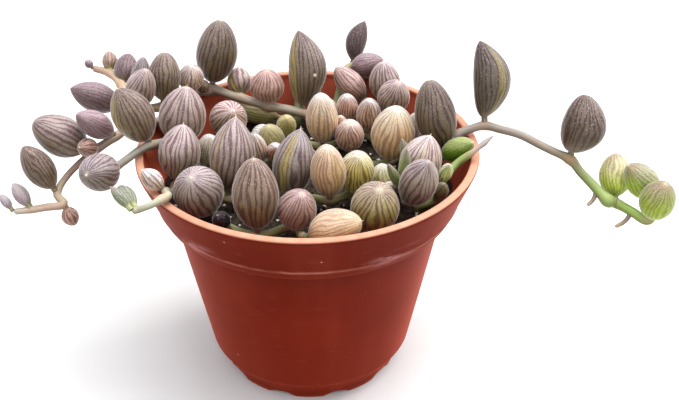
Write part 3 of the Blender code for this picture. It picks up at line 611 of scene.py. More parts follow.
def settled_plant():
    """Let the crowded leaves and nodes give way to each other, the soil and the rim until nothing touches.

    Leaves are rows of balls that turn about their nodes, and stems are rows of balls that carry their nodes.
    Returns for each strand its knots, and its leaves as (node, direction, length, width, bow).
    """
    plant = plant_arrays()
    knots, leaf_rows, leaf_knot = plant.knots, plant.leaf_rows, plant.leaf_knot
    weights, probe_strand = stem_probes(knots, plant.spans)
    influence = np.abs(weights).sum(axis=0)[:, None] + 1e-9

    # Leaves may press a little into others of their own strand, and their feet into its stem
    count = len(leaf_rows)
    owner = np.repeat(np.arange(count), len(BALL_PLACES))
    place = np.tile(BALL_PLACES, count)
    ball_strand = plant.leaf_strand[owner]
    leaf_gaps = np.where(ball_strand[:, None] == ball_strand[None, :], -0.4, GAP + 0.1)
    leaf_gaps = np.where(owner[:, None] == owner[None, :], NEVER, leaf_gaps)
    own_stem = ball_strand[:, None] == probe_strand[None, :]
    stem_gaps = np.where(own_stem, np.where(place[:, None] > 0.4, -0.8, NEVER), GAP + 0.1)
    stem_reach = np.where(probe_strand[:, None] == probe_strand[None, :], NEVER, 2 * STEM_RADIUS + GAP)
    stem_radii = np.full(len(probe_strand), STEM_RADIUS)
    fixed = knots[plant.movable[:, 0] == 0]
    rooted = np.linalg.norm((weights @ knots)[:, None] - fixed[None], axis=2).min(axis=1) < 2.5

    meant_knots, meant = knots.copy(), heading_vector(leaf_rows[:, 0], leaf_rows[:, 1])
    direction, size = meant.copy(), np.ones(count)
    for step in range(SETTLE_STEPS):
        length, width = leaf_rows[:, 2] * size, leaf_rows[:, 3] * size
        reach = stalk_length(length)[owner] + length[owner] * place
        points = knots[leaf_knot][owner] + direction[owner] * reach[:, None]
        points += sideways(direction)[owner] * (leaf_rows[owner, 4] * bow_share(place))[:, None]
        radii = 0.5 * width[owner] * outline(place)
        probes = weights @ knots

        first, _second, move = touching(points, points, radii[:, None] + radii[None, :] + leaf_gaps)
        push = gathered(first, len(points), 0.5 * move) + wall_pushes(points, radii)
        first, second, move = touching(points, probes, radii[:, None] + STEM_RADIUS + stem_gaps)
        push += gathered(first, len(points), LEAF_FROM_STEM * move)
        move[own_stem[first, second]] = 0
        stem_push = gathered(second, len(probes), -STEM_FROM_LEAF * move)
        first, _second, move = touching(probes, probes, stem_reach)
        stem_push += gathered(first, len(probes), 0.5 * move)
        stem_push += np.where(rooted[:, None], 0, wall_pushes(probes, stem_radii))

        turn = gathered(owner, count, push * reach[:, None])
        direction = direction + YIELDING * turn / np.bincount(owner, reach ** 2)[:, None]
        moves = weights.T @ stem_push / influence * YIELDING
        np.add.at(moves, leaf_knot, NODE_FROM_LEAF * gathered(owner, count, push))
        knots = knots + np.clip(moves, -LONGEST_STEP, LONGEST_STEP) * plant.movable
        if step < EASE_STEPS:
            direction = direction + drawn_back(meant - direction, TURN_BACK)
            knots = knots + drawn_back(meant_knots - knots, MOVE_BACK)
        direction /= np.linalg.norm(direction, axis=1)[:, None]
        away = knots - meant_knots
        far = np.linalg.norm(away, axis=1)[:, None] + 1e-9
        knots = meant_knots + away * np.minimum(1, FURTHEST / far)
        crowded = np.zeros(count)
        np.maximum.at(crowded, owner, np.linalg.norm(push, axis=1))
        if step >= SHRINK_FROM:
            size = np.where(crowded > CROWDED, np.maximum(size - SHRINK_STEP, SMALLEST), size)

    settled = {}
    for index, (name, (first, number)) in enumerate(zip(STRANDS, plant.spans)):
        leaves = [(knots[leaf_knot[i]], direction[i], leaf_rows[i, 2] * size[i], leaf_rows[i, 3] * size[i],
                   leaf_rows[i, 4]) for i in np.flatnonzero(plant.leaf_strand == index)]
        settled[name] = (knots[first:first + number], leaves)
    return settled


class Graph:
    """A material's node tree, with short ways to add to it."""

    def __init__(self, name, settings):
        self.material = bpy.data.materials.new(name)
        self.material.use_nodes = True
        self.tree = self.material.node_tree
        self.shader = self.tree.nodes["Principled BSDF"]
        for socket, value in settings.items():
            self.shader.inputs[socket].default_value = value

    def add(self, kind, inputs, **settings):
        """A node with values or other nodes' outputs on its inputs, which are numbers or names."""
        made = self.tree.nodes.new("ShaderNode" + kind)
        for name, value in settings.items():
            setattr(made, name, value)
        for socket, value in inputs.items():
            if isinstance(value, bpy.types.NodeSocket):
                self.tree.links.new(value, made.inputs[socket])
            else:
                made.inputs[socket].default_value = value
        return made

    def math(self, operation, first, second=0.0):
        return self.add("Math", {0: first, 1: second}, operation=operation).outputs[0]

    def times(self, first, second):
        return self.math("MULTIPLY", first, second)

    def plus(self, first, second):
        return self.math("ADD", first, second)

    def minus(self, first, second):
        return self.math("SUBTRACT", first, second)

    def vector(self, operation, first, second):
        return self.add("VectorMath", {0: first, 1: second}, operation=operation).outputs[0]

    def step(self, value, low, high, start=0.0, end=1.0):
        """A smooth step from start to end as the value goes from low to high."""
        return self.add("MapRange", {"Value": value, "From Min": low, "From Max": high, "To Min": start,
                                     "To Max": end}, interpolation_type="SMOOTHSTEP").outputs[0]

    def mix(self, share, first, second, blend="MIX"):
        """A mix of two colours, each an output or red, green and blue."""
        first, second = [(*part, 1.0) if isinstance(part, tuple) else part for part in (first, second)]
        return self.add("Mix", {0: share, 6: first, 7: second}, data_type="RGBA", blend_type=blend).outputs[2]

    def noise(self, place, scale, detail=2.0, roughness=0.5):
        return self.add("TexNoise", {"Vector": place, "Scale": scale, "Detail": detail,
                                     "Roughness": roughness}).outputs[0]

    def attribute(self, name, output="Fac"):
        return self.add("Attribute", {}, attribute_name=name).outputs[output]

    def place(self):
        """Places on the object, in metres."""
        return self.add("TexCoord", {}).outputs["Object"]

    def facing_up(self):
        normal = self.add("NewGeometry", {}).outputs["Normal"]
        return self.add("SeparateXYZ", {0: normal}).outputs[2]

    def bump(self, height, distance, strength=1.0, after=None):
        inputs = {"Height": height, "Distance": distance, "Strength": strength}
        if after:
            inputs["Normal"] = after
        return self.add("Bump", inputs).outputs[0]

    def finish(self, **links):
        """Link outputs to the shader's inputs, with _ for a space in their names."""
        for socket, value in links.items():
            self.tree.links.new(value, self.shader.inputs[socket.replace("_", " ")])
        return self.material


def striped_leaf_material():
    """Waxy leaf: wavy dark stripes from base to tip, pale speckled wax and painted light on top, a clear
    window on some.
    """
    g = Graph("striped_leaf", {"Roughness": 0.48, "Specular IOR Level": 0.40, "Subsurface Weight": 0.28,
                               "Subsurface Radius": (0.0016, 0.0012, 0.0008), "Subsurface Scale": 1.0,
                               "Sheen Weight": 0.95, "Sheen Roughness": 0.25,
                               "Sheen Tint": (1.0, 0.92, 0.96, 1.0)})
    ring = g.attribute("ring", "Vector")
    seed = g.attribute("seed")
    apart = g.add("CombineXYZ", {2: g.times(seed, 40.0)}).outputs[0]
    place = g.vector("ADD", ring, apart)
    parts = g.add("SeparateXYZ", {0: ring})
    turn = g.math("ARCTAN2", parts.outputs[1], parts.outputs[0])
    along = g.math("DIVIDE", parts.outputs[2], ALONG_SCALE)

    # Stripes: evenly spread round the leaf, then pushed sideways by slow and by quick noise
    drift = g.times(g.noise(place, 0.9, 1.0), 0.9)
    wobble = g.times(g.minus(g.noise(place, 3.0, 1.0), 0.5), 0.18)
    bent = g.plus(g.plus(turn, drift), wobble)
    count = g.attribute("stripe_count")
    turns = g.times(bent, g.math("DIVIDE", count, 2 * math.pi))
    aside = g.math("ABSOLUTE", g.minus(g.math("FRACT", turns), 0.5))
    width = g.step(g.noise(place, 2.6, 1.0), 0.34, 0.66, 0.07, 0.25)
    line = g.minus(1.0, g.step(g.minus(aside, width), -0.06, 0.14))

    # Finer lines between them, which come and go
    between = g.math("ABSOLUTE", g.minus(g.math("FRACT", g.plus(turns, 0.5)), 0.5))
    fine = g.minus(1.0, g.step(between, 0.02, 0.12))
    fine = g.times(fine, g.step(g.noise(place, 2.6, 1.0), 0.48, 0.62))
    stripe = g.math("MAXIMUM", line, g.times(fine, 0.5))
    ends = g.times(g.step(along, 0.0, 0.10), g.step(along, 0.998, 0.975))
    stripe = g.times(stripe, ends)

    # Painted light and shade: faces turned up take the paler upper colour, which is partly the waxy bloom and
    # partly painted light from above, and faces turned down take the darker under colour as painted shade
    up = g.facing_up()
    top_light_patch = g.times(g.minus(g.noise(place, 2.0, 2.0), 0.5), 0.5)
    painted_top_light = g.step(g.plus(up, top_light_patch), -0.10, 1.10)
    body = g.mix(painted_top_light, g.attribute("under", "Color"), g.attribute("upper", "Color"))
    object_place = g.place()
    grain = g.noise(object_place, 3800.0, 2.0)
    body = g.mix(1.0, body, g.add("CombineColor", {
        0: g.step(grain, 0.3, 0.7, 0.80, 1.22), 1: g.step(grain, 0.3, 0.7, 0.80, 1.22),
        2: g.step(grain, 0.3, 0.7, 0.80, 1.24)}).outputs[0], "MULTIPLY")
    depth = g.times(stripe, g.attribute("stripe_depth"))
    lined = g.mix(depth, body, g.mix(1.0, body, (0.33, 0.200, 0.250), "MULTIPLY"))

    # The window lets light into the leaf, so it looks golden
    window = g.times(g.attribute("window"), g.minus(1.0, g.times(line, 0.45)))
    gold = g.mix(g.noise(place, 5.0, 2.0), (0.38, 0.27, 0.035), (0.60, 0.50, 0.14))
    lined = g.mix(window, lined, gold)

    # Pale crystals of wax, and the cream nib
    cells = g.add("TexVoronoi", {"Vector": object_place, "Scale": 1700.0})
    specks = g.times(g.step(cells.outputs["Distance"], 0.33, 0.12), g.step(painted_top_light, 0.0, 0.7, 0.2))
    lined = g.mix(g.times(specks, 0.34), lined, (0.80, 0.75, 0.76))
    lined = g.mix(g.step(along, 0.995, 1.002), lined, (0.78, 0.68, 0.50))

    relief = g.minus(g.times(grain, 0.35), g.times(stripe, 0.8))
    return g.finish(Base_Color=lined, Normal=g.bump(relief, 0.00012, 0.6))


def stem_material():
    """Stems: fine lengthwise streaks, painted light on top and painted shade below, with scars and a warm
    colour at the nodes.
    """
    g = Graph("stem", {"Roughness": 0.5, "Specular IOR Level": 0.4, "Subsurface Weight": 0.08,
                       "Subsurface Radius": (0.0015, 0.0012, 0.0006), "Subsurface Scale": 1.0,
                       "Sheen Weight": 0.15, "Sheen Roughness": 0.4})
    ring = g.attribute("ring", "Vector")
    streaks = g.noise(ring, 3.0, 3.0)
    blotches = g.noise(g.place(), 700.0, 3.0)
    # Painted light and shade: faces turned up take a paler colour, and faces turned down a darker one
    painted_top_light = g.step(g.facing_up(), -0.5, 1.0)
    tone = g.attribute("under", "Color")
    shaded = g.mix(1.0, tone, (0.42, 0.38, 0.34), "MULTIPLY")
    top = g.mix(0.16, tone, (0.70, 0.66, 0.62))
    body = g.mix(painted_top_light, shaded, top)
    body = g.mix(g.step(streaks, 0.50, 0.62, 0.0, 0.40), body, shaded)
    body = g.mix(g.step(blotches, 0.58, 0.70, 0.0, 0.35), body, (0.42, 0.24, 0.17))
    return g.finish(Base_Color=body, Normal=g.bump(streaks, 0.00015, 0.5))


def pot_material():
    """Satin terracotta-coloured plastic: a paler lip from wear and painted light, limescale and a paler line
    at the ridge, faint dust and scuffs, and painted light and shade on the body, under the collar and inside.
    """
    g = Graph("terracotta_plastic", {"Specular IOR Level": 0.02, "Sheen Weight": 0.35,
                                     "Sheen Roughness": 0.35, "Sheen Tint": (0.95, 0.14, 0.06, 1.0),
                                     "Subsurface Weight": 0.2, "Subsurface Radius": (0.0025, 0.0006, 0.0003),
                                     "Subsurface Scale": 1.0})
    place = g.vector("ADD", g.place(), (-POT_AXIS[0] * MM, -POT_AXIS[1] * MM, 0.0))
    parts = g.add("SeparateXYZ", {0: place})
    height = parts.outputs[2]
    turn = g.math("ARCTAN2", parts.outputs[1], parts.outputs[0])
    around = g.add("CombineXYZ", {0: g.math("COSINE", turn), 1: g.math("SINE", turn),
                                  2: g.times(height, 3.0)}).outputs[0]
    cloudy = g.noise(place, 55.0, 4.0)
    body = g.mix(g.step(cloudy, 0.35, 0.68), (0.120, 0.008, 0.002), (0.146, 0.011, 0.003))
    # Painted light and shade: paler towards the foot, as light bounced up from the floor, and darker up the
    # body and on the down-facing collar, as shade
    body = g.mix(g.step(height, 0.030, 0.0), body, (0.175, 0.016, 0.006))
    body = g.mix(g.step(height, 0.035, 0.056, 0.0, 0.55), body, (0.082, 0.0065, 0.002))

    # Dust that dulls the wall in soft patches, with faint rubbed marks round it
    dusty = g.step(g.noise(around, 2.4, 5.0, 0.6), 0.46, 0.74, 0.0, 0.14)
    body = g.mix(dusty, body, (0.30, 0.060, 0.035))
    streaked = g.vector("MULTIPLY", around, (3.0, 3.0, 90.0))
    rubbed = g.noise(streaked, 2.0, 4.0)
    body = g.mix(g.step(rubbed, 0.60, 0.74, 0.0, 0.14), body, (0.32, 0.07, 0.04))
    spots = g.add("TexVoronoi", {"Vector": place, "Scale": 260.0})
    spotted = g.times(g.step(spots.outputs["Distance"], 0.085, 0.045),
                     g.step(g.noise(place, 90.0, 2.0), 0.60, 0.66))
    body = g.mix(g.times(spotted, 0.7), body, (0.62, 0.36, 0.27))

    # Limescale in a scuffed patch at each side of the ridge, and a faint uneven paler line along the ridge
    # all round
    chalk = g.step(g.noise(streaked, 1.7, 5.0, 0.65), 0.40, 0.62)
    band = g.times(g.step(height, 0.0515, 0.0540), g.step(height, 0.0585, 0.0548))
    patches = 0.0
    for heading, half_width in LIMESCALE_PATCHES:
        away = g.math("ABSOLUTE", g.minus(turn, math.radians(heading)))
        patches = g.math("MAXIMUM", g.step(away, math.radians(half_width), 0.0), patches)
    lime = g.times(g.times(band, chalk), patches)
    body = g.mix(g.times(lime, 0.60), body, (0.44, 0.23, 0.23))
    level = g.plus(height, g.times(g.noise(around, 7.0, 3.0), 0.0008))
    thin = g.times(g.step(level, 0.0538, 0.0543), g.step(level, 0.0550, 0.0545))
    thin = g.times(thin, g.step(g.noise(around, 5.0, 4.0), 0.30, 0.62, 0.15, 0.6))
    body = g.mix(thin, body, (0.40, 0.15, 0.11))

    # Painted shade in the corner under the collar, and a paler inside
    corner = g.times(g.step(height, 0.0440, 0.0510), g.step(height, 0.0524, 0.0512))
    body = g.mix(g.times(corner, 0.35), body, (0.05, 0.005, 0.002))
    # Painted light: the inside of the collar is painted paler, as lit by the light falling into the pot
    radius = g.math("SQRT", g.plus(g.times(parts.outputs[0], parts.outputs[0]),
                                   g.times(parts.outputs[1], parts.outputs[1])))
    outer = g.plus(g.times(height, COLLAR_SLOPE), (COLLAR_FOOT_RADIUS - COLLAR_SLOPE * COLLAR_FOOT) * MM)
    inside = g.step(g.minus(outer, radius), 0.0006, 0.0010)
    body = g.mix(g.times(inside, g.step(height, 0.0500, 0.0512)), body, (0.42, 0.085, 0.045))

    # The lip is painted paler: partly wear, partly painted light and highlight on its rounded top
    lip = g.step(height, 0.0654, 0.0659)
    lip_wear_and_painted_light = g.mix(g.noise(around, 16.0, 4.0), (0.58, 0.260, 0.165), (0.76, 0.420, 0.300))
    body = g.mix(lip, body, lip_wear_and_painted_light)
    fine = g.noise(place, 2600.0, 2.0)
    relief = g.plus(g.times(fine, 0.25), g.times(cloudy, 0.5))
    rough = g.step(g.plus(dusty, lime), 0.0, 0.6, 0.44, 0.64)
    return g.finish(Base_Color=body, Roughness=rough, Normal=g.bump(relief, 0.00010, 0.35))


def soil_material():
    """Crumbly dark peat."""
    g = Graph("dark_soil", {"Roughness": 0.95, "Specular IOR Level": 0.25})
    place = g.place()
    clods = g.noise(place, 600.0, 5.0, 0.65)
    body = g.mix(g.step(clods, 0.35, 0.70), (0.008, 0.006, 0.005), (0.070, 0.048, 0.034))
    body = g.mix(g.step(g.noise(place, 2400.0, 3.0), 0.62, 0.70, 0.0, 0.6), body, (0.16, 0.12, 0.085))
    return g.finish(Base_Color=body, Normal=g.bump(clods, 0.0006, 0.9))


def perlite_material():
    """White foamed grains with a rough, pitted skin and a little dirt."""
    g = Graph("perlite", {"Roughness": 0.85, "Subsurface Weight": 0.1,
                          "Subsurface Radius": (0.001, 0.001, 0.001)})
    pits = g.noise(g.place(), 3200.0, 4.0)
    dirt = g.step(g.noise(g.place(), 900.0, 3.0), 0.45, 0.7)
    body = g.mix(dirt, (0.78, 0.76, 0.72), (0.34, 0.30, 0.25))
    return g.finish(Base_Color=body, Normal=g.bump(pits, 0.0002, 0.9))


def floor_material():
    g = Graph("pale_floor", {"Roughness": 0.9, "Specular IOR Level": 0.1})
    tone = g.mix(g.noise(g.place(), 3.0, 2.0), (0.86, 0.86, 0.86), (0.89, 0.89, 0.89))
    return g.finish(Base_Color=tone)


class Skin:
    """Rings of vertices joined into one mesh, with what the materials read at each vertex."""

    def __init__(self):
        self.places, self.faces, self.values = [], [], {}
        self.count = 0

    def add_rings(self, rings, values, close_start, close_end):
        """Rings as an array (ring, side, xyz). A closed end is a fan to the middle of its ring."""
        number, sides, _ = rings.shape
        first = self.count
        index = first + np.arange(number * sides).reshape(number, sides)
        onward = np.roll(index, -1, axis=1)
        quads = np.stack([index[:-1], onward[:-1], onward[1:], index[1:]], axis=-1)
        self.faces += quads.reshape(-1, 4).tolist()
        places = [rings.reshape(-1, 3)]
        self.count += number * sides
        ends = [(close_start, 0, index[0], onward[0]), (close_end, number - 1, onward[-1], index[-1])]
        for closed, row, before, after in ends:
            if closed:
                places.append(rings[row].mean(axis=0)[None])
                self.faces += [[self.count, int(b), int(a)] for a, b in zip(before, after)]
                self.count += 1
        self.places += places
        for name, value in values.items():
            value = np.asarray(value, np.float32)
            shaped = [value.reshape(number * sides, -1)]
            for closed, row, _before, _after in ends:
                if closed:
                    shaped.append(value[row].mean(axis=0)[None].reshape(1, -1))
            self.values.setdefault(name, []).extend(shaped)

    def make(self, name, material_used):
        mesh = bpy.data.meshes.new(name)
        mesh.from_pydata((np.vstack(self.places) * MM).tolist(), [], self.faces)
        for key, parts in self.values.items():
            values = np.vstack(parts)
            if key in COLOUR_VALUES:
                values = np.hstack([values, np.ones((len(values), 1))])
                mesh.attributes.new(key, "FLOAT_COLOR", "POINT").data.foreach_set("color", values.ravel())
            elif values.shape[1] == 3:
                mesh.attributes.new(key, "FLOAT_VECTOR", "POINT").data.foreach_set("vector", values.ravel())
            else:
                mesh.attributes.new(key, "FLOAT", "POINT").data.foreach_set("value", values.ravel())
        mesh.materials.append(material_used)
        mesh.shade_smooth()
        return show(name, mesh)


def linked(name, data):
    item = bpy.data.objects.new(name, data)
    bpy.context.scene.collection.objects.link(item)
    return item


def show(name, mesh):
    """An object for a mesh that was made round the pot's axis."""
    mesh.transform(Matrix.Translation((POT_AXIS[0] * MM, POT_AXIS[1] * MM, 0)))
    return linked(name, mesh)


def mesh_from(shape, name, material_used=None):
    """The mesh of an edited shape, which is freed."""
    mesh = bpy.data.meshes.new(name)
    shape.to_mesh(mesh)
    shape.free()
    if material_used:
        mesh.materials.append(material_used)
    return mesh


def settle_in(piece, node=None):
    """Let a piece ride on the plant's one body, and hide the solid that it stands for."""
    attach(piece, "root")
    if node:
        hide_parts(node)


def turns_round(steps):
    """Evenly spread turns, in radians."""
    return np.arange(steps) * 2 * np.pi / steps


def turn_circle(turn):
    """The point on a circle of radius 1 at each turn."""
    return np.stack([np.cos(turn), np.sin(turn)], axis=-1)


def ring_places(circle, along):
    """What a material reads as a place: the point on the circle, and the distance along."""
    shape = (len(along), len(circle))
    return np.concatenate([np.broadcast_to(circle, (*shape, 2)),
                           np.broadcast_to(np.asarray(along)[:, None, None], (*shape, 1))], axis=-1)


def filled(shape, value):
    """The same value at every vertex of an array of rings."""
    return np.broadcast_to(np.asarray(value, np.float32), (*shape, np.size(value)))


def leaf_radii(along, length, width, sharp):
    """A leaf's radius at places along it, from its thin stalk to the nib at its tip."""
    past_widest = np.clip((along - WIDEST) / (1 - WIDEST), 0, 1)
    bend = math.log(0.5) / math.log(WIDEST)
    swell = np.sin(np.pi * np.clip(along, 0, 1) ** bend)
    body = 0.5 * width * np.clip(swell, 0, 1) ** (FULLNESS + sharp * past_widest)
    stalk = min(NECK_RADIUS, 0.24 * width) * np.clip(1 - along / 0.5, 0, 1)
    nib_end = 1 + NIB_LENGTH / length * min(1, width / 8)
    nib = NIB_RADIUS * min(1, width / 8) * np.clip((nib_end - along) / (nib_end - 0.96), 0, 1) * (along > 0.9)
    return (body ** 3 + stalk ** 3 + nib ** 3) ** (1 / 3), nib_end


def add_leaf(skin, leaf, looks, window, draw):
    """One leaf with its stalk, from the middle of the stem to its nib."""
    node, direction, length, width, bow = leaf
    tone, brightness_and_painted_light, sharp = looks
    small = length < SMALL_LEAF
    sides, rows = (SMALL_GIRTH_STEPS, SMALL_LEAF_RINGS) if small else (GIRTH_STEPS, LEAF_RINGS)
    stalk = stalk_length(length)
    nib_end = leaf_radii(np.zeros(1), length, width, sharp)[1]
    in_stalk = -np.array([0.75, 0.5, 0.25]) * stalk / length
    in_body = 0.5 * (1 - np.cos(np.linspace(0, np.pi, rows)))
    in_nib = 1 + np.array([0.35, 0.75]) * (nib_end - 1)
    along = np.concatenate([in_stalk, in_body, in_nib])
    radii = leaf_radii(along, length, width, sharp)[0]

    side = sideways(direction[None])[0]
    side /= np.linalg.norm(side)
    above = np.cross(direction, side)
    turn = turns_round(sides)
    shape = (len(along), sides)
    lobes = 0.014 * np.cos(2 * turn + draw.uniform(0, 6.3))
    lobes = lobes + 0.010 * np.cos(3 * turn + draw.uniform(0, 6.3))
    bulge = np.clip(outline(along), 0, 1)[:, None]
    clear = np.zeros(shape)
    if window:
        heading, clearness = math.radians(window[0]), window[1]
        facing = np.array([math.cos(heading), math.sin(heading), 0.1])
        middle = math.atan2(facing @ above, facing @ side)
        aside = np.abs((turn - middle + np.pi) % (2 * np.pi) - np.pi)
        clear = clearness * np.exp(-(aside / WINDOW_HALF_WIDTH) ** 2)[None]
        clear = clear * np.clip(bulge * 2.2 - 0.25, 0, 1)
        lobes = lobes - 0.035 * np.exp(-(aside / (1.6 * WINDOW_HALF_WIDTH)) ** 2)
    swollen = radii[:, None] * (1 + lobes[None] * bulge)
    bowed = (bow + draw.uniform(-0.2, 0.2)) * bow_share(np.clip(along, 0, 1))
    centres = node + direction * (stalk + length * along)[:, None] + side * bowed[:, None]
    outward = np.cos(turn)[:, None] * side + np.sin(turn)[:, None] * above
    rings = centres[:, None] + swollen[..., None] * outward

    under, upper = (np.array(colour) for colour in TONES[tone])
    # Painted light and shade: the brightness lightens or darkens the whole leaf for how lit it stands, and
    # UNDER_LIFT paints fill light into its underside
    light = brightness_and_painted_light * draw.uniform(0.99, 1.09)
    warm = 1 + draw.uniform(-0.05, 0.05) * np.array([1, 0, -1])
    foot = np.clip(1 - along / 0.16, 0, 1)[:, None]
    stalk_colour = np.array(FOOT_COLOURS.get(tone, FOOT_COLOURS["mauve"]))
    under = (under * UNDER_LIFT * light * warm) * (1 - foot) + stalk_colour * 0.6 * foot
    upper = (upper * light * warm) * (1 - foot) + stalk_colour * foot
    if tone in TIP_COLOURS:
        cap = np.clip((along - 0.62) / 0.3, 0, 1)[:, None] ** 2
        under = under * (1 - 0.6 * cap) + np.array(TIP_COLOURS[tone]) * 0.3 * cap
        upper = upper * (1 - 0.6 * cap) + np.array(TIP_COLOURS[tone]) * 0.6 * cap
    under, upper = np.minimum(under, BRIGHTEST), np.minimum(upper, BRIGHTEST)
    skin.add_rings(rings, {
        "ring": ring_places(turn_circle(turn), along * ALONG_SCALE),
        "under": np.broadcast_to(under[:, None], (*shape, 3)),
        "upper": np.broadcast_to(upper[:, None], (*shape, 3)),
        "window": clear[..., None],
        "seed": filled(shape, draw.uniform(0, 1)),
        "stripe_count": filled(shape, draw.integers(12, 15) if small else draw.integers(20, 26)),
        "stripe_depth": filled(shape, STRIPE_DEPTHS.get(tone, 0.85)),
    }, False, True)


def along_stops(stops, shares):
    """Values or colours at shares of a strand's length, from those at its stops."""
    at = [share for share, _value in stops]
    values = np.array([value for _share, value in stops], float).reshape(len(stops), -1)
    return np.stack([np.interp(shares, at, column) for column in values.T], axis=-1)


def distances_along(points):
    return np.concatenate([[0], np.cumsum(np.linalg.norm(np.diff(points, axis=0), axis=1))])


def rounded_ends(points, radii):
    """The radii of a stem, drawn in at both ends as on a ball."""
    length = distances_along(points)
    from_end = np.minimum(length, length[-1] - length) / radii
    return radii * np.sqrt(np.clip(1 - (1 - np.clip(from_end, 0.03, 1)) ** 2, 0, 1))


def tube_rings(points, radii, turn):
    """Rings round a line of points, without twist."""
    tangents = np.gradient(points, axis=0)
    tangents /= np.linalg.norm(tangents, axis=1)[:, None]
    side = np.cross(tangents[0], (0.3, 0.9, 0.1))
    sides_list = []
    for tangent in tangents:
        side = side - tangent * (side @ tangent)
        side /= np.linalg.norm(side)
        sides_list.append(side)
    across = np.array(sides_list)
    above = np.cross(tangents, across)
    outward = np.cos(turn)[None, :, None] * across[:, None] + np.sin(turn)[None, :, None] * above[:, None]
    return points[:, None] + radii[..., None] * outward


def add_stem(skin, points, radii, colours, draw):
    """A stem with rounded ends, its surface a little uneven."""
    turn = turns_round(STEM_SIDES)
    length = distances_along(points)
    wave = np.sin(length * 0.9 + draw.uniform(0, 6))[:, None]
    uneven = 1 + STEM_UNEVENNESS * wave * np.cos(turn + draw.uniform(0, 6))[None]
    rings = tube_rings(points, radii[:, None] * uneven, turn)
    shape = (len(points), STEM_SIDES)
    skin.add_rings(rings, {
        "ring": ring_places(2 * turn_circle(turn), STREAK_SCALE * length),
        "under": np.broadcast_to(colours[:, None], (*shape, 3)),
    }, True, True)


def make_strand(name, knots, leaves, leaf_skin, stem_skin, draw):
    """One leafy stem: a mesh for its leaves and one for its stem, which both stand for its solid."""
    skin = Skin()
    for number, leaf in enumerate(leaves):
        add_leaf(skin, leaf, LEAF_LOOKS[name][number], WINDOWS.get((name, number)), draw)
    foliage = skin.make(name + "_leaves", leaf_skin)

    points = curve_weights(knots, FINE_STEM_SPACING) @ knots
    below = knots[1] - np.array([[0, 0, 4.0], [0, 0, 2.0]])
    points = np.vstack([below, points])
    share = np.linspace(0, 1, len(points))
    radii = STEM_RADIUS + (STEM_TIP_RADIUS - STEM_RADIUS) * np.clip(share * 2 - 1, 0, 1)
    near_node = np.zeros(len(points))
    for node, _direction, _length, width, _bow in leaves:
        away = np.linalg.norm(points - node, axis=1)
        near_node = np.maximum(near_node, np.exp(-(away / 1.5) ** 2) * min(1, width / 7))
    colours = along_stops(STEM_COLOURS.get(name, SHADED_STEM), share)
    colours += 0.55 * near_node[:, None] * (np.array(NODE_COLOUR) - colours)
    radii = radii * (1 + 0.16 * near_node)
    for owner, number, swelling, colour in SWOLLEN_NODES:
        if owner == name:
            near = np.exp(-(np.linalg.norm(points - knots[2 + number], axis=1) / 1.7) ** 2)
            radii = radii * (1 + swelling * near)
            colours += 0.8 * near[:, None] * (np.array(colour) - colours)
    if name in STEM_GIRTHS:
        radii = radii * along_stops(STEM_GIRTHS[name], share)[:, 0]
    skin = Skin()
    add_stem(skin, points, rounded_ends(points, radii), colours, draw)
    for owner, number, reach in AERIAL_ROOTS:
        if owner == name:
            share = np.linspace(0, 1, 16)
            sag = np.array([0.5, -0.4, -0.3]) * np.sin(share * math.pi)[:, None]
            root = knots[2 + number] + np.array(reach) * share[:, None] + sag
            width = rounded_ends(root, AERIAL_ROOT_RADIUS * (1.1 - 0.25 * share))
            dark, light = np.array(AERIAL_ROOT_COLOURS)
            tip = (share ** 3)[:, None]
            add_stem(skin, root, width, dark * (1 - tip) + light * tip, draw)
    stem = skin.make(name + "_stem", stem_skin)
    for piece in (foliage, stem):
        settle_in(piece, name)


def make_scars(plant):
    """Healed scars: small flat bumps of pale cork on the leaves."""
    cork = Graph("cork", {"Base Color": (0.55, 0.45, 0.35, 1.0), "Roughness": 0.7}).material
    shape = bmesh.new()
    for strand, number, along, heading, size in SCARS:
        node, direction, length, width, bow = plant[strand][1][number]
        outward = heading_vector(heading, 0)
        outward = outward - direction * (outward @ direction)
        outward /= np.linalg.norm(outward)
        middle = node + direction * (stalk_length(length) + length * along)
        middle = middle + outward * 0.5 * width * outline(along)
        middle += sideways(direction[None])[0] * bow * bow_share(along)
        for vertex in bmesh.ops.create_icosphere(shape, subdivisions=3, radius=size * MM)["verts"]:
            vertex.co -= Vector(outward) * (vertex.co @ Vector(outward)) * 0.6
            vertex.co += Vector(middle) * MM
    mesh = mesh_from(shape, "leaf_scars", cork)
    mesh.shade_smooth()
    settle_in(show("leaf_scars", mesh))


def softened(profile, cut):
    """The profile with each inner corner cut off, so that two passes round it."""
    rounded = [profile[0]]
    for before, corner, after in zip(profile, profile[1:], profile[2:]):
        for other in (before, after):
            reach = min(cut, 0.33 * math.dist(corner, other)) / math.dist(corner, other)
            rounded.append(tuple(c + (o - c) * reach for c, o in zip(corner, other)))
    return rounded + [profile[-1]]


def revolve(name, profile, steps, reshape, material_used):
    """A turned surface whose corners reshape(radius, turn, height) may move."""
    rows = np.array(profile)
    turn = turns_round(steps)
    radius, height = (np.repeat(column[:, None], steps, axis=1) for column in rows.T)
    radius, height = reshape(radius, turn[None] + 0 * radius, height)
    rings = np.stack([radius * np.cos(turn), radius * np.sin(turn), height], axis=-1)
    skin = Skin()
    skin.add_rings(rings[::-1], {}, False, False)
    piece = skin.make(name, material_used)
    shape = bmesh.new()
    shape.from_mesh(piece.data)
    bmesh.ops.remove_doubles(shape, verts=shape.verts, dist=0.000001)
    bmesh.ops.recalc_face_normals(shape, faces=shape.faces)
    shape.to_mesh(piece.data)
    shape.free()
    return piece


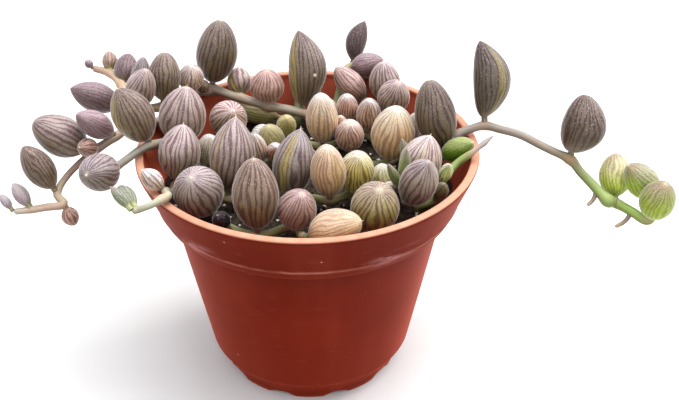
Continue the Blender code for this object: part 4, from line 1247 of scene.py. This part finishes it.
def arches(turn):
    """Height of the arches under the foot ring, in millimetres, at turns round the pot."""
    step = 2 * np.pi / FOOT_NOTCHES
    aside = (turn + np.pi / 2) % step - step / 2
    across = np.abs(aside) * FOOT_RADIUS / NOTCH_HALF_WIDTH
    return NOTCH_HEIGHT * np.clip(1 - across ** 2, 0, 1)


def pot_shape(radius, turn, height):
    """Arches in the foot ring, and low ribs inside the collar."""
    at_foot = height < 0.05
    arched = np.where(at_foot, arches(turn), height)
    step = 2 * np.pi / INNER_RIBS
    aside = (turn - math.radians(RIB_HEADING) + step / 2) % step - step / 2
    rib = np.exp(-(aside * RIM_RADIUS / RIB_HALF_WIDTH) ** 4)
    outer = COLLAR_FOOT_RADIUS + COLLAR_SLOPE * (height - COLLAR_FOOT)
    inside = (radius < outer - WALL + 0.2) & (height > COLLAR_FOOT + 1.0) & (height < RIM_TOP - 2.2)
    return np.where(inside, radius - RIB_DEPTH * rib, radius), arched


def make_pot(made):
    floor_edge = BODY_FOOT_RADIUS - WALL + BODY_SLOPE * (FLOOR_TOP - FLOOR_UNDERSIDE)
    ridge = COLLAR_FOOT_RADIUS + COLLAR_SLOPE * (RIDGE_HEIGHT - COLLAR_FOOT)
    inner = COLLAR_TOP_RADIUS - WALL - COLLAR_SLOPE * 1.6
    profile = [
        (0, FLOOR_TOP),
        (floor_edge - 0.7, FLOOR_TOP),
        (floor_edge, FLOOR_TOP + 0.8),
        (BODY_TOP_RADIUS - WALL, COLLAR_FOOT - 0.2),
        (COLLAR_FOOT_RADIUS - WALL, COLLAR_FOOT + 1.2),
        (COLLAR_FOOT_RADIUS - WALL + COLLAR_SLOPE * 2.0, COLLAR_FOOT + 3.2),
        (inner - COLLAR_SLOPE * 2.2, RIM_TOP - 3.8),
        (inner, RIM_TOP - 1.6),
        (RIM_RADIUS - 2.35, RIM_TOP - 0.5),
        (RIM_RADIUS - 2.0, RIM_TOP),
        (RIM_RADIUS - 0.5, RIM_TOP),
        (RIM_RADIUS, RIM_TOP - 0.5),
        (COLLAR_TOP_RADIUS, RIM_TOP - 1.6),
        (ridge + 0.10, RIDGE_HEIGHT + 0.3),
        (ridge + 0.30, RIDGE_HEIGHT),
        (ridge - 0.15, RIDGE_HEIGHT - 0.5),
        (COLLAR_FOOT_RADIUS + 0.1, COLLAR_FOOT + 0.6),
        (COLLAR_FOOT_RADIUS - 0.5, COLLAR_FOOT),
        (BODY_TOP_RADIUS, COLLAR_FOOT),
        (BODY_FOOT_RADIUS, FLOOR_UNDERSIDE + 0.5),
        (BODY_FOOT_RADIUS - 0.5, FLOOR_UNDERSIDE),
        (FOOT_TOP_RADIUS, FLOOR_UNDERSIDE - 0.2),
        (FOOT_RADIUS + 0.4, 1.6),
        (FOOT_RADIUS, 0),
        (FOOT_RADIUS - FOOT_WALL, 0),
        (FOOT_RADIUS - FOOT_WALL + 0.4, 1.6),
        (FOOT_TOP_RADIUS - FOOT_WALL, FLOOR_UNDERSIDE),
        (DRAIN_RING + DRAIN_RADIUS, FLOOR_UNDERSIDE),
        (0, FLOOR_UNDERSIDE),
    ]
    foot = profile.index((FOOT_RADIUS + 0.4, 1.6))
    rounded = softened(softened(profile[:foot], 0.22), 0.09) + profile[foot:]
    pot = revolve("pot_shell", rounded, POT_FINE_STEPS, pot_shape, made)
    cut_drain_holes(pot)
    settle_in(pot, "pot")


def cut_drain_holes(pot):
    shape = bmesh.new()
    centres = [(0, 0)] + [(DRAIN_RING * math.cos(turn), DRAIN_RING * math.sin(turn))
                          for turn in np.arange(DRAIN_HOLES) * 2 * math.pi / DRAIN_HOLES]
    for x, y in centres:
        place = Matrix.Translation(((POT_AXIS[0] + x) * MM, (POT_AXIS[1] + y) * MM, FLOOR_TOP * MM))
        bmesh.ops.create_cone(shape, cap_ends=True, segments=24, radius1=DRAIN_RADIUS * MM,
                              radius2=DRAIN_RADIUS * MM, depth=6 * MM, matrix=place)
    cutter = linked("drain_cutter", mesh_from(shape, "drain_cutter"))
    step = pot.modifiers.new("Drain", "BOOLEAN")
    step.operation = "DIFFERENCE"
    step.object = cutter
    step.solver = "EXACT"
    finished = bpy.data.meshes.new_from_object(pot.evaluated_get(bpy.context.evaluated_depsgraph_get()))
    pot.modifiers.clear()
    pot.data = finished
    bpy.data.objects.remove(cutter, do_unlink=True)


def make_soil(made, perlite, draw):
    """The soil's rough top with its sides and underside, and loose crumbs and perlite on it."""
    rims = np.sin(np.linspace(0, np.pi / 2, SOIL_RINGS)) * SOIL_FILL_RADIUS
    foot = BODY_FOOT_RADIUS - WALL - GAP + BODY_SLOPE * (FLOOR_TOP - FLOOR_UNDERSIDE)
    profile = [(radius, SOIL_TOP) for radius in rims]
    profile += [(SOIL_FILL_RADIUS + 0.3, SOIL_TOP - 0.6),
                (COLLAR_FOOT_RADIUS - WALL - GAP, COLLAR_FOOT + 1.35),
                (BODY_TOP_RADIUS - WALL - GAP - 0.1, COLLAR_FOOT - 0.1), (foot, FLOOR_TOP + GAP + 0.95),
                (foot - 0.9, FLOOR_TOP + GAP), (0, FLOOR_TOP + GAP)]

    def rough_top(radius, turn, height):
        x, y = radius * np.cos(turn), radius * np.sin(turn)
        lumps = 0.6 * np.sin(0.52 * x + 1.3) * np.cos(0.47 * y) + 0.4 * np.sin(1.1 * x - 0.9 * y)
        crumbly = 0.35 * np.sin(3.1 * x + 1.7 * y) * np.sin(2.3 * y - 1.9 * x + 1)
        crumbly += 0.25 * np.sin(5.3 * x - 2.2 * y + 2) * np.sin(4.7 * y + 1.1 * x)
        rough = height + SOIL_LUMP * (lumps + crumbly) - 0.15
        return radius, np.where(height > SOIL_TOP - 0.1, rough, height)

    settle_in(revolve("soil_fill", profile, SOIL_SPOKES, rough_top, made), "soil")
    for name, number, sizes, material_used in (("soil_crumbs", CRUMBS, (0.35, 1.0), made),
                                               ("perlite_grains", PERLITE_BITS, (0.5, 1.1), perlite)):
        settle_in(loose_grains(name, number, sizes, material_used, draw))


def loose_grains(name, number, sizes, material_used, draw):
    """Small uneven lumps half sunk in the soil's top, clear of the stems that lie on it."""
    shape = bmesh.new()
    for _grain in range(number):
        radius = (SOIL_FILL_RADIUS - 1.5) * math.sqrt(draw.uniform(0, 1))
        turn = draw.uniform(0, 2 * math.pi)
        size = draw.uniform(*sizes)
        x, y = radius * math.cos(turn), radius * math.sin(turn)
        lump = bmesh.ops.create_icosphere(shape, subdivisions=2, radius=size / 2)["verts"]
        waves = draw.uniform(0, 6.3, 3)
        for vertex in lump:
            along = vertex.co.normalized()
            uneven = 1 + 0.22 * math.sin(3.1 * along.x + waves[0]) * math.sin(3.7 * along.y + waves[1])
            uneven += 0.12 * math.sin(7.3 * along.z + 5.1 * along.x + waves[2])
            vertex.co = vertex.co * uneven
            vertex.co.z *= 0.75
        height = SOIL_TOP + min(0.25, SOIL_LUMP + 0.35 - 0.4 * size)
        bmesh.ops.translate(shape, verts=lump, vec=(x, y, height))
    for vertex in shape.verts:
        vertex.co *= MM
    mesh = mesh_from(shape, name, material_used)
    mesh.shade_smooth()
    return show(name, mesh)


def add_light(name, place, target, size, power, colour):
    light = bpy.data.lights.new(name, "AREA")
    light.shape = "SQUARE"
    light.size = size
    light.energy = power
    light.color = colour
    item = linked(name, light)
    item.location = place
    item.rotation_euler = (Vector(target) - Vector(place)).to_track_quat("-Z", "Y").to_euler()


def make_studio():
    """Pale floor, soft light from above, and the camera of the photograph."""
    shape = bmesh.new()
    bmesh.ops.create_grid(shape, x_segments=2, y_segments=2, size=3.0)
    floor = linked("floor", mesh_from(shape, "floor", floor_material()))

    plant = (0, 0, 0.06)
    add_light("key_light", (0.15, 0.05, 1.15), plant, 0.8, 11.0, (1.0, 0.985, 0.96))
    add_light("side_light", (0.75, 0.40, 0.60), plant, 0.4, 5.0, (1.0, 0.98, 0.97))
    world = bpy.data.worlds.new("studio")
    world.use_nodes = True
    world.node_tree.nodes["Background"].inputs["Color"].default_value = (0.96, 0.98, 1.0, 1.0)
    world.node_tree.nodes["Background"].inputs["Strength"].default_value = 1.0
    bpy.context.scene.world = world
    bpy.context.scene.view_settings.view_transform = "Standard"

    camera = bpy.data.cameras.new("camera")
    camera.sensor_width = SENSOR_WIDTH
    camera.lens = SENSOR_WIDTH * FOCAL_PIXELS / IMAGE_WIDTH
    camera.clip_start = 0.01
    elevation = math.radians(CAMERA_ELEVATION)
    target = Vector((POT_AXIS[0] + CAMERA_TARGET[0], POT_AXIS[1] + CAMERA_TARGET[1], CAMERA_TARGET[2])) * MM
    back = Vector((0, -math.cos(elevation), math.sin(elevation)))
    item = linked("camera", camera)
    item.location = target + back * CAMERA_DISTANCE * MM
    item.rotation_euler = (math.pi / 2 - elevation, 0, 0)
    bpy.context.scene.camera = item


def main():
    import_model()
    make_studio()
    leaf_skin, stem_skin = striped_leaf_material(), stem_material()
    draw = np.random.default_rng(7)
    plant = settled_plant()
    for name, (knots, leaves) in plant.items():
        make_strand(name, knots, leaves, leaf_skin, stem_skin, draw)
    make_scars(plant)
    make_pot(pot_material())
    make_soil(soil_material(), perlite_material(), draw)


main()
